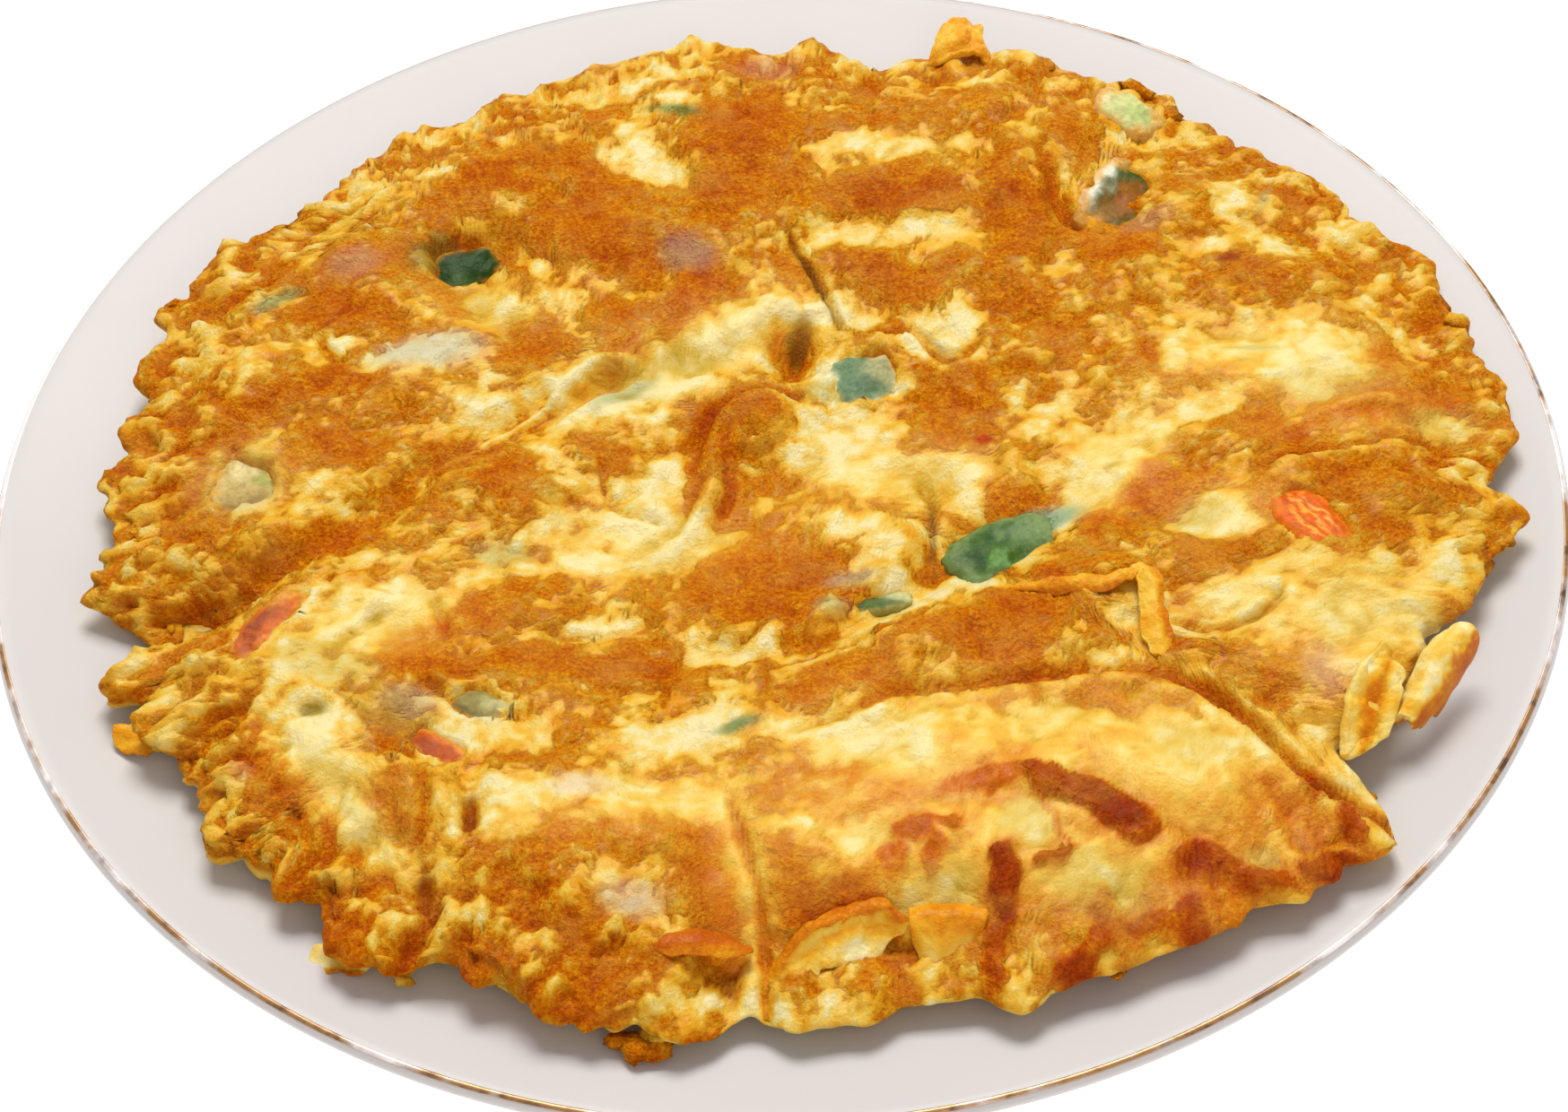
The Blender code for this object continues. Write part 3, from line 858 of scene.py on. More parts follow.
@dataclass
class OmeletteForm:
    """The omelette's outline, top and underside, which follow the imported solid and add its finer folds.

    A notch is its bearing and half width in degrees with its depth between them. A wave of the edge is
    how many go round, its height and its phase, and one of the top its length, direction and height.
    """

    plate: Plate = field(default_factory=Plate)
    top_share: float = 0.86
    top_z: float = 25.5
    crest_rise: float = 1.2
    crest_r: float = 85.0
    edge_round: float = 9.0
    edge_drop: float = 3.0
    plate_gap: float = 0.6
    edge_lift: float = 2.2
    tuck_under: float = 14.0
    innermost_tuck_r: float = 100.0
    front_crowding: float = 0.16
    edge_radii: tuple[float, ...] = (
        *(125, 125, 123, 121, 117, 118, 118, 114, 109, 113, 114, 113),
        *(111, 112, 110, 116, 116, 112, 115, 116, 119, 116, 118, 121),
        *(122, 118, 121, 117, 116, 121, 120, 128, 121, 117, 119, 124),
    )
    notches: tuple[tuple[float, float, float], ...] = (
        *((77.0, 3, 3.0), (196.5, 10, 2.6), (211.5, 3, 2.5), (243.0, 6, 2.6), (266.0, 5, 2.6)),
        *((314.8, -2.5, 2.0), (320.5, 8, 2.2), (328.0, 4.5, 6.5)),
    )
    small_notches: tuple[tuple[float, float, float], ...] = (
        *((224.5, 2, 2.2), (231.0, 4, 1.6), (205.0, 4, 1.4), (189.0, 4, 1.3), (175.0, 3, 1.2)),
        *((160.0, 3, 1.3), (139.0, 4, 1.6), (283.0, 3, 1.6), (304.0, 3, 1.4), (335.0, 3, 1.6)),
        *((352.0, 3, 1.2), (60.0, 3, 1.4), (113.0, 3, 1.5)),
    )
    edge_waves: tuple[tuple[float, float, float], ...] = ((23, 1.1, 0.4), (34, 0.9, 2.1), (45, 0.5, 4.0))
    top_waves: tuple[tuple[float, float, float], ...] = (
        *((31, 15, 0.35), (23, 78, 0.35), (18, 132, 0.3), (14, 50, 0.25)),
    )
    swellings: tuple[Oval, ...] = each_of(
        Oval,
        (40, -82, 42, 20, -4, 4.2), (-31, -88, 24, 18, -8, 4.0), (-74, -62, 34, 13, -48, 2.5),
        (94, -52, 24, 18, 35, 3.0), (100, -18, 19, 22, 0, 2.0), (-92, 16, 14, 30, 4, 2.2),
        (-62, 66, 26, 14, 32, 3.4), (-6, 72, 22, 28, 0, 2.0), (42, 70, 22, 26, 0, 1.6),
        (28, -45, 50, 9, 24, 2.2), (-3, 7, 8, 8, 30, 3.4), (-12, -8, 4, 10, -14, 1.8),
        (-45, -3, 20, 10, 20, 1.6), (12, -19, 14, 12, 0, 2.0),
    )
    hollows: tuple[Oval, ...] = each_of(
        Oval,
        (-2, -16, 58, 30, 12, -3.0), (3, 25, 5, 7, 10, -4.2), (-91, 0, 10, 12, 0, -4.0),
        (-96, -28, 12, 9, 20, -4.0), (-53, 49, 11, 8, 20, -2.2), (60, 60, 9, 13, -20, -2.4),
        (38, -22, 16, 8, 25, -2.5), (8, -104, 14, 7, 10, -2.5), (-13, -94, 4.5, 12, 8, -2.4),
        (-12, -108, 5, 8, 0, -2.4),
    )
    small_lumps: tuple[Oval, ...] = each_of(
        Oval,
        (-22, -3, 4.5, 3.5, 20, 1.6), (-60, 27, 9, 4, 10, 1.3), (-29, 54, 9, 5, -10, 1.2),
        (-14, 38, 6, 8, -20, 1.4), (-44, 46, 8, 2, -52, 1.0), (18, -20, 5, 5, 0, 1.2),
        (8, -15, 4, 4, 0, 1.0), (4, -2, 5, 3, 60, 1.2), (33, -12, 3, 6, 10, 1.4),
        (40, -11, 3, 9, 0, 1.3), (0, -30, 11, 8, -10, 1.4), (-12, 17, 6, 3, 20, 1.5),
        (64, 34, 9, 4, 60, 0.8), (47, 55, 4, 15, -6, 1.0), (86, 12, 16, 7, 0, 1.2),
        (72, -40, 9, 5, 10, 1.6), (85, -16, 5, 5, 0, 1.0), (-80, -15, 11, 4, 12, 1.6),
        (-92, -23, 6, 3, -10, 1.6), (-100, -57, 8, 6, -30, 1.4), (-94, 55, 6, 6, 0, 1.4),
        (-64, -46, 9, 5, -30, 0.9), (-46, -73, 3, 5, 10, 1.6), (-54, -78, 2.5, 8, 8, 1.4),
        (-48, -97, 6, 9, 0, 1.3), (-36, -99, 3, 10, -8, 1.3), (76, 58, 4, 10, -28, 1.4),
        (88, 71, 9, 3.5, -30, 1.6), (-80, 75, 5, 4, 0, 2.2), (-76, -56, 3.5, 2.2, -15, -1.8),
        (-50, 36, 6, 4, -40, -1.4), (22, 52, 14, 4, -6, -1.0), (15, 31, 7, 3, -10, -1.2),
        (-18, 74, 4, 11, 30, -1.5), (66, 18, 2, 4, 0, -1.4), (34, -84, 4, 4, 0, -0.8),
    )
    folds: tuple[Fold, ...] = (
        Fold(((-108, -34), (-94, -26), (-76, -16), (-58, 0), (-42, 12), (-26, 20), (-6, 26)), 4.2, 5.2, 2.6),
        Fold(((-60, -2), (-52, 4), (-44, 11), (-36, 17)), 0.9, -1.3, -1.5),
        Fold(((-40, 13), (-35, 20), (-30, 24), (-22, 24)), 1.0, -1.4, -1.6),
        Fold(((-38, 9), (-30, 15), (-22, 21)), 1.0, -1.2, -1.2),
        Fold(((-22, 20), (-12, 25), (-3, 32), (2, 38)), 2.6, -1.2, -1.8),
        Fold(((4, 54), (8, 44), (11, 37), (13, 30), (16, 28)), 0.8, 1.8, 2.2, 0.4),
        Fold(((6, 34), (6, 29), (4, 24), (3, 20)), 1.8, 2.0, 3.0),
        Fold(((14, 29), (20, 27), (25, 27.5), (28, 23), (31, 19), (37, 24)), 1.1, 1.2, 1.5, -0.8),
        Fold(((24, -6), (26, -12), (25.5, -18), (24.5, -27)), 1.0, 1.4, 1.8),
        Fold(((28, -24), (18, -36), (4, -44), (-14, -47)), 2.8, 2.2, 1.4, -0.8),
        Fold(((-2, -50), (8, -47), (20, -43), (27, -36)), 0.8, 1.2, 1.2, -0.6),
        Fold(((-2, -67), (8, -63), (18, -58), (32, -57), (46, -55), (58, -56)), 1.5, 0.8, 2.2, -0.8),
        Fold(((56, -56), (64, -59), (70, -64), (75, -71), (80, -78), (88, -84)), 1.8, 2.2, 5.2, -0.9),
        Fold(((-11, -76), (-9, -83), (-7, -91), (-5.8, -98), (-5.4, -105), (-4.6, -113)), 1.0, 1.0, 2.4),
        Fold(((-58, -70), (-57, -78), (-58, -85)), 1.1, 1.4, 1.6),
        Fold(((-50.5, -76), (-50, -80), (-50, -84)), 1.3, 2.4, 3.0),
        Fold(((-57, -89), (-57, -93), (-55, -101), (-54, -110)), 1.8, 2.4, 5.0),
        Fold(((-86, -50), (-90, -57), (-93, -66)), 1.3, 2.5, 4.0),
        Fold(((62, -44.5), (68, -47.3), (73, -47.3), (79, -44.5), (82, -40)), 0.8, 1.6, 1.0, 0.5),
        Fold(
            ((79, -17), (84, -12.5), (89, -11), (98, -9), (106, -7.3), (112, -9), (117, -16)),
            *(1.0, 1.0, 1.0, -0.6),
        ),
        Fold(((73, -14), (77, -10.6), (85, -4.7), (94.6, 0), (102.5, 1.7), (109, 1)), 1.3, -1.1, -1.3),
        Fold(((-29, 1), (-29.5, -6), (-26, -12), (-19, -15)), 0.8, 1.2, 1.5),
        Fold(((6, 12), (2, 14), (-3, 14), (-8, 12), (-12, 7), (-14, 1), (-14, -3)), 1.7, 2.4, 2.0, 1.2),
        Fold(((-14, -3), (-13, -6), (-15, -11), (-18, -17), (-23, -21)), 1.5, 1.8, 1.0, 1.0),
        Fold(((-9, -2), (-8, -8), (-10, -14)), 1.0, 1.2, 1.8),
        Fold(((-60, -49), (-54, -53), (-49, -57), (-42, -59)), 1.0, 1.6, 1.6, 0.6),
        Fold(((-40, -38), (-30, -40), (-21, -38)), 1.3, 1.2, 1.2),
        Fold(((52, 74), (53, 66), (54, 58), (57, 51)), 1.8, 3.0, 3.5),
        Fold(((-80, 31), (-77, 27), (-75, 25)), 1.0, 1.6, 1.6),
        Fold(((20, 90), (22, 100), (24, 112)), 2.5, 1.0, 4.0),
        Fold(((-66, -34), (-72, -40), (-74, -46)), 1.4, 1.2, 1.2),
        Fold(((-80, -36), (-78.5, -32), (-77, -28)), 1.2, -0.9, -0.9),
        Fold(((-70, -38), (-68.5, -34), (-67, -29)), 1.3, -0.9, -0.9),
        Fold(((-58, -30), (-56, -36), (-55, -41)), 1.0, 1.4, 1.4),
        Fold(((-72, -69), (-66, -75), (-61, -84)), 1.8, 1.0, 1.6),
    )

    def edge(self, bearing: Numbers) -> Numbers:
        """How far the edge is from the plate's axis.

        Args:
            bearing: bearings in radians.

        Returns:
            The distance at each of them.
        """
        degrees = np.degrees(bearing) % 360
        radius = np.interp(degrees, np.arange(0, 361, 10), (*self.edge_radii, self.edge_radii[0]))
        for middle, depth, half_width in (*self.notches, *self.small_notches):
            away = (degrees - middle + 180) % 360 - 180
            radius = radius - depth * np.exp(-((away / half_width) ** 2))
        for waves, height, phase in self.edge_waves:
            radius = radius + height * np.sin(waves * bearing + phase)
        return radius

    def top(self, x: Numbers, y: Numbers) -> Numbers:
        """The height of the top, away from its rounded edge, with every swelling, hollow and fold.

        Args:
            x: where the places are, along X.
            y: where they are, along Y.

        Returns:
            The height at each.
        """
        height = self.top_z + self.crest_rise * smooth_step(0.4 * self.crest_r, self.crest_r, np.hypot(x, y))
        for wavelength, direction, amplitude in self.top_waves:
            angle = math.radians(direction)
            along = x * math.cos(angle) + y * math.sin(angle)
            height = height + amplitude * np.sin(2 * math.pi * along / wavelength)
        for oval in (*self.swellings, *self.hollows, *self.small_lumps):
            height = height + oval.strength * oval.share(x, y)
        for fold in self.folds:
            height = height + fold.height(x, y)
        return height

    def underside(self, radius: Numbers) -> Numbers:
        """Height of the underside, which follows the plate."""
        return self.plate.top(radius) + self.plate_gap


@dataclass
class Browning:
    """How far the egg browned, from 0 for pale to 1 for a brown crust and more where it scorched.

    Each patch adds its strength; the edges of all of them wander as batter does when it spreads.
    """

    ground: float = 0.46
    full: float = 0.62
    over_full: float = 0.42
    palest: float = 0.17
    under_palest: float = 0.35
    patch_crispness: float = 1.6
    wander_x: tuple[Grain, Grain] = (Grain(11, 9.0), Grain(12, 3.6))
    wander_y: tuple[Grain, Grain] = (Grain(13, 9.0), Grain(14, 3.6))
    wander_reach: tuple[float, float] = (2.2, 1.1)
    small_spots: Grain = Grain(16, 6.0, 3, 0.75)
    small_spots_swing: float = 0.34
    broad_spots: Grain = Grain(15, 14.0, 3)
    broad_spots_swing: float = 0.22
    calmest: float = 0.40
    scorch_strength: float = 0.92
    scorch_border: tuple[float, float] = (0.16, 0.56)
    scorch_crispness: float = 1.2
    fray: Grain = Grain(17, 3.2, 3, 0.6)
    fray_reach: float = 0.8
    patches: tuple[Oval, ...] = each_of(
        Oval,
        # Broad warmth at the back and on the right.
        (20, 75, 90, 40, 0, 0.10), (95, -10, 40, 60, 0, 0.04), (0, -108, 110, 16, 0, 0.10),
        # Upper left.
        (-56, 66, 15, 7, 8, 0.55), (-44, 77, 9, 4, 20, 0.35), (-31, 68, 10, 6, -35, 0.40),
        (-29, 54, 11, 5, -10, 0.60), (-13, 38, 6, 9, -20, 0.65), (-29, 36, 6, 4, -10, 0.50),
        (-43, 26, 7, 5, -20, 0.45), (-44, 46, 8, 2, -52, 0.50), (-59, 41, 5, 3, -50, 0.35),
        (-77, 36, 12, 4, 5, 0.45), (-66, 50, 4, 9, 0, 0.35), (-75, 54, 4, 4, 0, 0.40),
        (-81, 18, 10, 5, 20, 0.45), (-97, 12, 8, 7, 35, 0.55), (-63, 15, 12, 5, -15, 0.20),
        (-76, 5, 11, 5, 0, 0.40), (-95, 50, 7, 8, -20, 0.30), (-6, 75, 6, 18, 0, 0.60),
        (-42, 50, 3, 6, 20, -0.45), (-50, 38, 8, 4, -40, -0.50), (-60, 27, 10, 4, 10, -0.55),
        (-19, 74, 4, 13, 30, -0.55), (-31, 97, 7, 4, 10, -0.40), (-17, 104, 6, 3, 10, -0.40),
        (-15, 93, 5, 3, 0, -0.25), (-10, 27, 16, 6, 32, -0.65), (-27, 16, 14, 6, 30, -0.60),
        (-48, 14, 10, 4, 30, -0.40), (-103, 27, 6, 6, 0, -0.25), (-60, 73, 9, 1.6, 12, -0.35),
        # Upper right.
        (2, 82, 4, 16, 0, 0.55), (25, 61, 17, 5, -8, 0.60), (46, 52, 5, 16, -6, 0.65),
        (20, 43, 8, 4, -25, 0.50), (26, 36, 5, 4, -40, 0.45), (36, 44, 5, 3, 0, 0.35),
        (62, 45, 7, 6, 20, 0.45), (88, 38, 7, 5, -60, 0.45), (32, 15, 7, 6, 20, 0.50),
        (31, 5, 7, 5, 0, 0.45), (48, 27, 9, 9, 30, 0.20), (63, 17, 6, 5, 0, 0.30),
        (62, 81, 16, 4, 0, 0.30), (86, 72, 10, 4, -20, 0.50), (98, 59, 6, 4, -10, 0.40),
        (76, 60, 4, 9, -20, 0.40), (108, 3, 12, 4, 10, 0.50), (106, 15, 3, 7, 0, 0.35),
        (115, 26, 9, 4, -45, 0.50), (38, 103, 10, 3, 0, 0.40), (24, 52, 16, 4, -5, -0.45),
        (20, 75, 14, 4, 0, -0.30), (15, 34, 9, 4, -10, -0.50), (30, 28, 8, 5, 40, -0.35),
        (90, 17, 19, 7, 0, -0.40), (54, 40, 4, 6, 0, -0.25), (78, 46, 5, 3, 0, -0.35),
        (86, 60, 7, 6, -30, -0.40), (38, 95, 8, 3, 0, -0.45), (12, 6, 9, 6, 0, -0.50),
        (72, 4, 8, 4, 20, -0.45), (72, 76, 8, 3, -5, -0.35),
        # The tongue of crust in the middle, and the swirl to its left.
        (-4, 9, 8, 5, -10, 0.75), (-10.5, 2, 4.5, 8, -15, 0.75), (-12.5, -9, 3.2, 6, -20, 0.60),
        (-25, -1, 4, 3, 20, 0.50),
        # Lower left.
        (-47, -6, 8, 6, 0, 0.45), (-80, -15, 12, 4, 15, 0.40), (-103, -9, 7, 10, 0, 0.50),
        (-106, -25, 7, 7, 0, 0.40), (-98, -40, 8, 10, -20, 0.30), (-48, -35, 7, 7, -20, 0.45),
        (-30, -47, 15, 5, -5, 0.55), (-61, -46, 7, 5, 0, 0.35), (-56, -45, 4, 4, 30, 0.35),
        (-2, -30, 13, 9, -10, 0.55), (-63, -64, 10, 3, -60, 0.35), (-78, -75, 19, 5, -56, 0.65),
        (-69, -97, 10, 5, -10, 0.60), (-62, -106, 5, 3, 0, 0.40), (-48, -96, 5, 9, 0, 0.45),
        (-37, -100, 4, 10, 0, 0.40), (-30, -88, 18, 4, 0, 0.25), (-27, -111, 6, 5, 0, 0.50),
        (-13, -96, 5, 8, 0, 0.20), (-38, -68, 8, 3, 20, 0.20), (-62, -76, 4, 6, 0, 0.25),
        (-67, -34, 12, 6, 18, -0.60), (-32, -14, 11, 5, 0, -0.35), (-35, -24, 11, 4, 0, -0.40),
        (-18, -19, 8, 6, 10, -0.60), (-20, -5, 7, 6, 0, -0.50), (-78, -60, 8, 6, -40, -0.60),
        (-67, -78, 12, 3.5, -55, -0.45), (-32, -39, 10, 2, 0, -0.50), (-10, -45, 11, 2.5, 10, -0.60),
        (-20, -65, 14, 5, 5, -0.40), (-28, -78, 17, 4, -5, -0.45), (-24, -100, 6, 4, 0, -0.40),
        (-76, -48, 9, 4, -30, -0.40), (-46, -62, 7, 4, 20, -0.30), (-14, -113, 9, 3, 5, -0.40),
        # Lower right.
        (64, -14, 7, 6, -40, 0.36), (40, -12, 3, 9, 0, 0.55), (53, -25, 6, 4, 30, 0.40),
        (33, -46, 12, 7, 10, 0.55), (11, -54, 13, 4, 24, 0.45), (45, -33, 6, 3, 20, 0.35),
        (69, -32, 11, 5, 0, 0.25), (85, -14, 5, 4, 0, 0.45), (102, -22, 14, 12, 0, 0.28),
        (115, -34, 4, 5, 0, 0.45), (109, -43, 5, 4, -30, 0.45), (97, -45, 9, 8, 0, 0.10),
        (82, -61, 7, 6, 0, 0.28), (88, -4, 14, 2.2, 25, 0.36), (58, -66, 20, 6, -10, 0.14),
        (75, -80, 8, 9, -40, 0.18), (55, -58, 12, 2.0, 0, 0.25), (12, -80, 9, 4, 10, 0.18),
        (5, -97, 8, 4, 12, 0.22), (96, 7, 10, 5, -5, -0.35), (94, -46.5, 12, 5, 5, -0.50),
        (79.5, -71, 7, 5, 0, -0.30), (114, -2.5, 7, 4, 0, -0.30), (107, -36.5, 8, 6, 0, -0.35),
        (86, -36, 6, 4, 0, -0.20), (70, -23, 5, 4, 0, -0.35), (12, -22, 9, 8, 0, -0.25),
        (20, -5, 14, 5, -10, -0.55), (33, -12, 3, 6, 0, -0.45), (56, -8, 5, 12, -35, -0.70),
        (72, -22, 4, 5, 0, -0.45), (20, -36, 14, 3.5, 36, -0.70), (75, -42, 8, 4, 10, -0.35),
        (13, -67, 11, 5, 12, -0.60), (47, -67, 20, 5, 0, -0.35), (-10, -95, 3.5, 18, 8, -0.12),
        # The first two ovals on the next line, paler spots on the front lobe, are painted highlights.
        (11, -89, 4, 3, 0, -0.50), (18, -73, 5, 3, 0, -0.40), (36, -88, 5, 4, 0, -0.40),
        (46, -99, 9, 6, -10, -0.35), (33, -111, 4, 3, 0, -0.45), (22, -98, 6, 4, 0, -0.35),
        (63, -74, 9, 6, 0, -0.30), (60, -98, 34, 12, 14, 0.11), (71, -94, 3.5, 2.5, 0, -0.30),
        (92, -41, 7, 4, 20, -0.25), (46, -45, 4, 2.5, 0, -0.30),
    )

    smooth_zones: tuple[Oval, ...] = each_of(
        Oval,
        (38, -82, 50, 24, -3, 0.85), (92, -46, 18, 12, 20, 0.75), (88, 15, 22, 10, 0, 0.70),
        (58, -8, 8, 14, -35, 0.80), (-14, 26, 22, 9, 30, 0.80), (-66, -36, 15, 9, 18, 0.75),
        (-72, -70, 22, 6, -55, 0.70), (20, -8, 20, 10, 0, 0.50), (-28, -80, 20, 8, 0, 0.50),
        (-20, -18, 22, 9, 0, 0.50), (74, -42, 12, 6, 10, 0.50), (-50, 40, 12, 8, -30, 0.50),
        (-91, 0, 9, 9, 0, 0.60), (-9, -96, 5, 18, 8, 0.70), (100, 0, 18, 6, 5, 0.55),
        (75, -20, 12, 8, 0, 0.50),
    )

    scorches: tuple[Oval, ...] = each_of(
        Oval,
        (45, -83.5, 10, 2.8, -33, 1.05), (52.5, -88.5, 3.4, 3, 0, 0.60), (18, -87, 3.6, 2.0, 20, 0.60),
        (21, -91.5, 2.2, 3.6, 0, 0.60), (24.5, -87.5, 3.2, 1.5, -20, 0.50),
        (15, -92.5, 1.8, 2.8, 0, 0.50), (30, -79.5, 8, 2, 8, 0.45), (31.5, -98, 2.3, 6, 4, 1.05),
        (29.6, -108, 2.0, 5.5, -10, 1.00), (43.5, -109.5, 8, 1.9, 40, 0.95),
        (46, -101.5, 2, 3.4, 0, 0.65), (53.5, -105, 3.2, 2, 0, 0.75), (62, -94.5, 4, 3.4, -20, 0.85),
        (67, -95.5, 2.2, 2, 0, 0.65), (59, -104, 2.4, 3, 0, 0.85), (71.5, -97.5, 4, 1.8, 5, 1.00),
        (81, -95, 4.6, 2, 20, 1.05), (86, -87, 1.8, 5, 10, 0.80), (80, -80.5, 1.6, 4, 10, 0.60),
        (40, -87, 6.5, 0.6, -70, 0.60), (39.5, -94, 4.5, 1.3, 15, 0.70), (6, -99.5, 8, 1.4, 14, 0.35),
    )

    def dryness(self, x: Numbers, y: Numbers) -> Numbers:
        """How dry and grainy the surface is.

        Args:
            x: where the places are, along X.
            y: where they are, along Y.

        Returns:
            1 for crust, and near 0 where the skin set smooth.
        """
        dry = np.ones(len(x))
        for zone in self.smooth_zones:
            dry = dry * (1 - zone.strength * zone.share(x, y, self.patch_crispness))
        return dry

    def level(self, points: Points) -> Numbers:
        """How far the egg browned, before the grain finer than the mesh.

        Args:
            points: places in mm, one row each.

        Returns:
            The browning at each.
        """
        x, y = points[:, 0], points[:, 1]
        calm = self.calmest + (1 - self.calmest) * self.dryness(x, y)
        off_x, off_y = (
            sum(reach * grain.at(points) for reach, grain in zip(self.wander_reach, grains))
            for grains in (self.wander_x, self.wander_y)
        )
        level = np.full(len(x), self.ground)
        for patch in self.patches:
            level = level + patch.strength * patch.share(x + off_x, y + off_y, self.patch_crispness)
        small = self.small_spots_swing * self.small_spots.at(points)
        level = level + calm * (small + self.broad_spots_swing * self.broad_spots.at(points))
        level = np.where(level > self.full, self.full + self.over_full * (level - self.full), level)
        level = np.where(level < self.palest, self.palest + self.under_palest * (level - self.palest), level)
        fray = self.fray_reach * self.fray.at(points)
        for scorch in self.scorches:
            share = scorch.share(x + 0.5 * off_x + fray, y + 0.5 * off_y - fray, self.scorch_crispness)
            level = level + self.scorch_strength * scorch.strength * smooth_step(*self.scorch_border, share)
        return level


@dataclass(frozen=True)
class TintOval:
    """A tint of colour at one place, as where a vegetable shows through the egg, or painted shade in a slit
    or pit.
    """

    colour: str
    x: float
    y: float
    half_length: float
    half_width: float
    turn: float = 0.0
    strength: float = 0.7
    crispness: float = 2.2

    def cover(self, colours: Points, x: Numbers, y: Numbers) -> None:
        """Lays the tint over some colours, in place.

        Args:
            colours: linear colours, one row each; the fourth column is how much is covered.
            x: where the colours are, along X.
            y: where they are, along Y.
        """
        oval = Oval(self.x, self.y, self.half_length, self.half_width, self.turn)
        share = (self.strength * oval.share(x, y, self.crispness))[:, None]
        tint = np.array(linear(self.colour)[:3])
        covered = share + colours[:, 3:4] * (1 - share)
        mixed = tint * share + colours[:, :3] * colours[:, 3:4] * (1 - share)
        colours[:, :3] = mixed / np.maximum(covered, 1e-6)
        colours[:, 3:4] = covered


@dataclass
class Skin:
    """What is known at each point of the omelette's skin, row by row of the grid that it is bent from."""

    points: Points
    turned: Numbers
    level: Numbers
    dryness: Numbers
    side_tone: Numbers
    sunk: Numbers


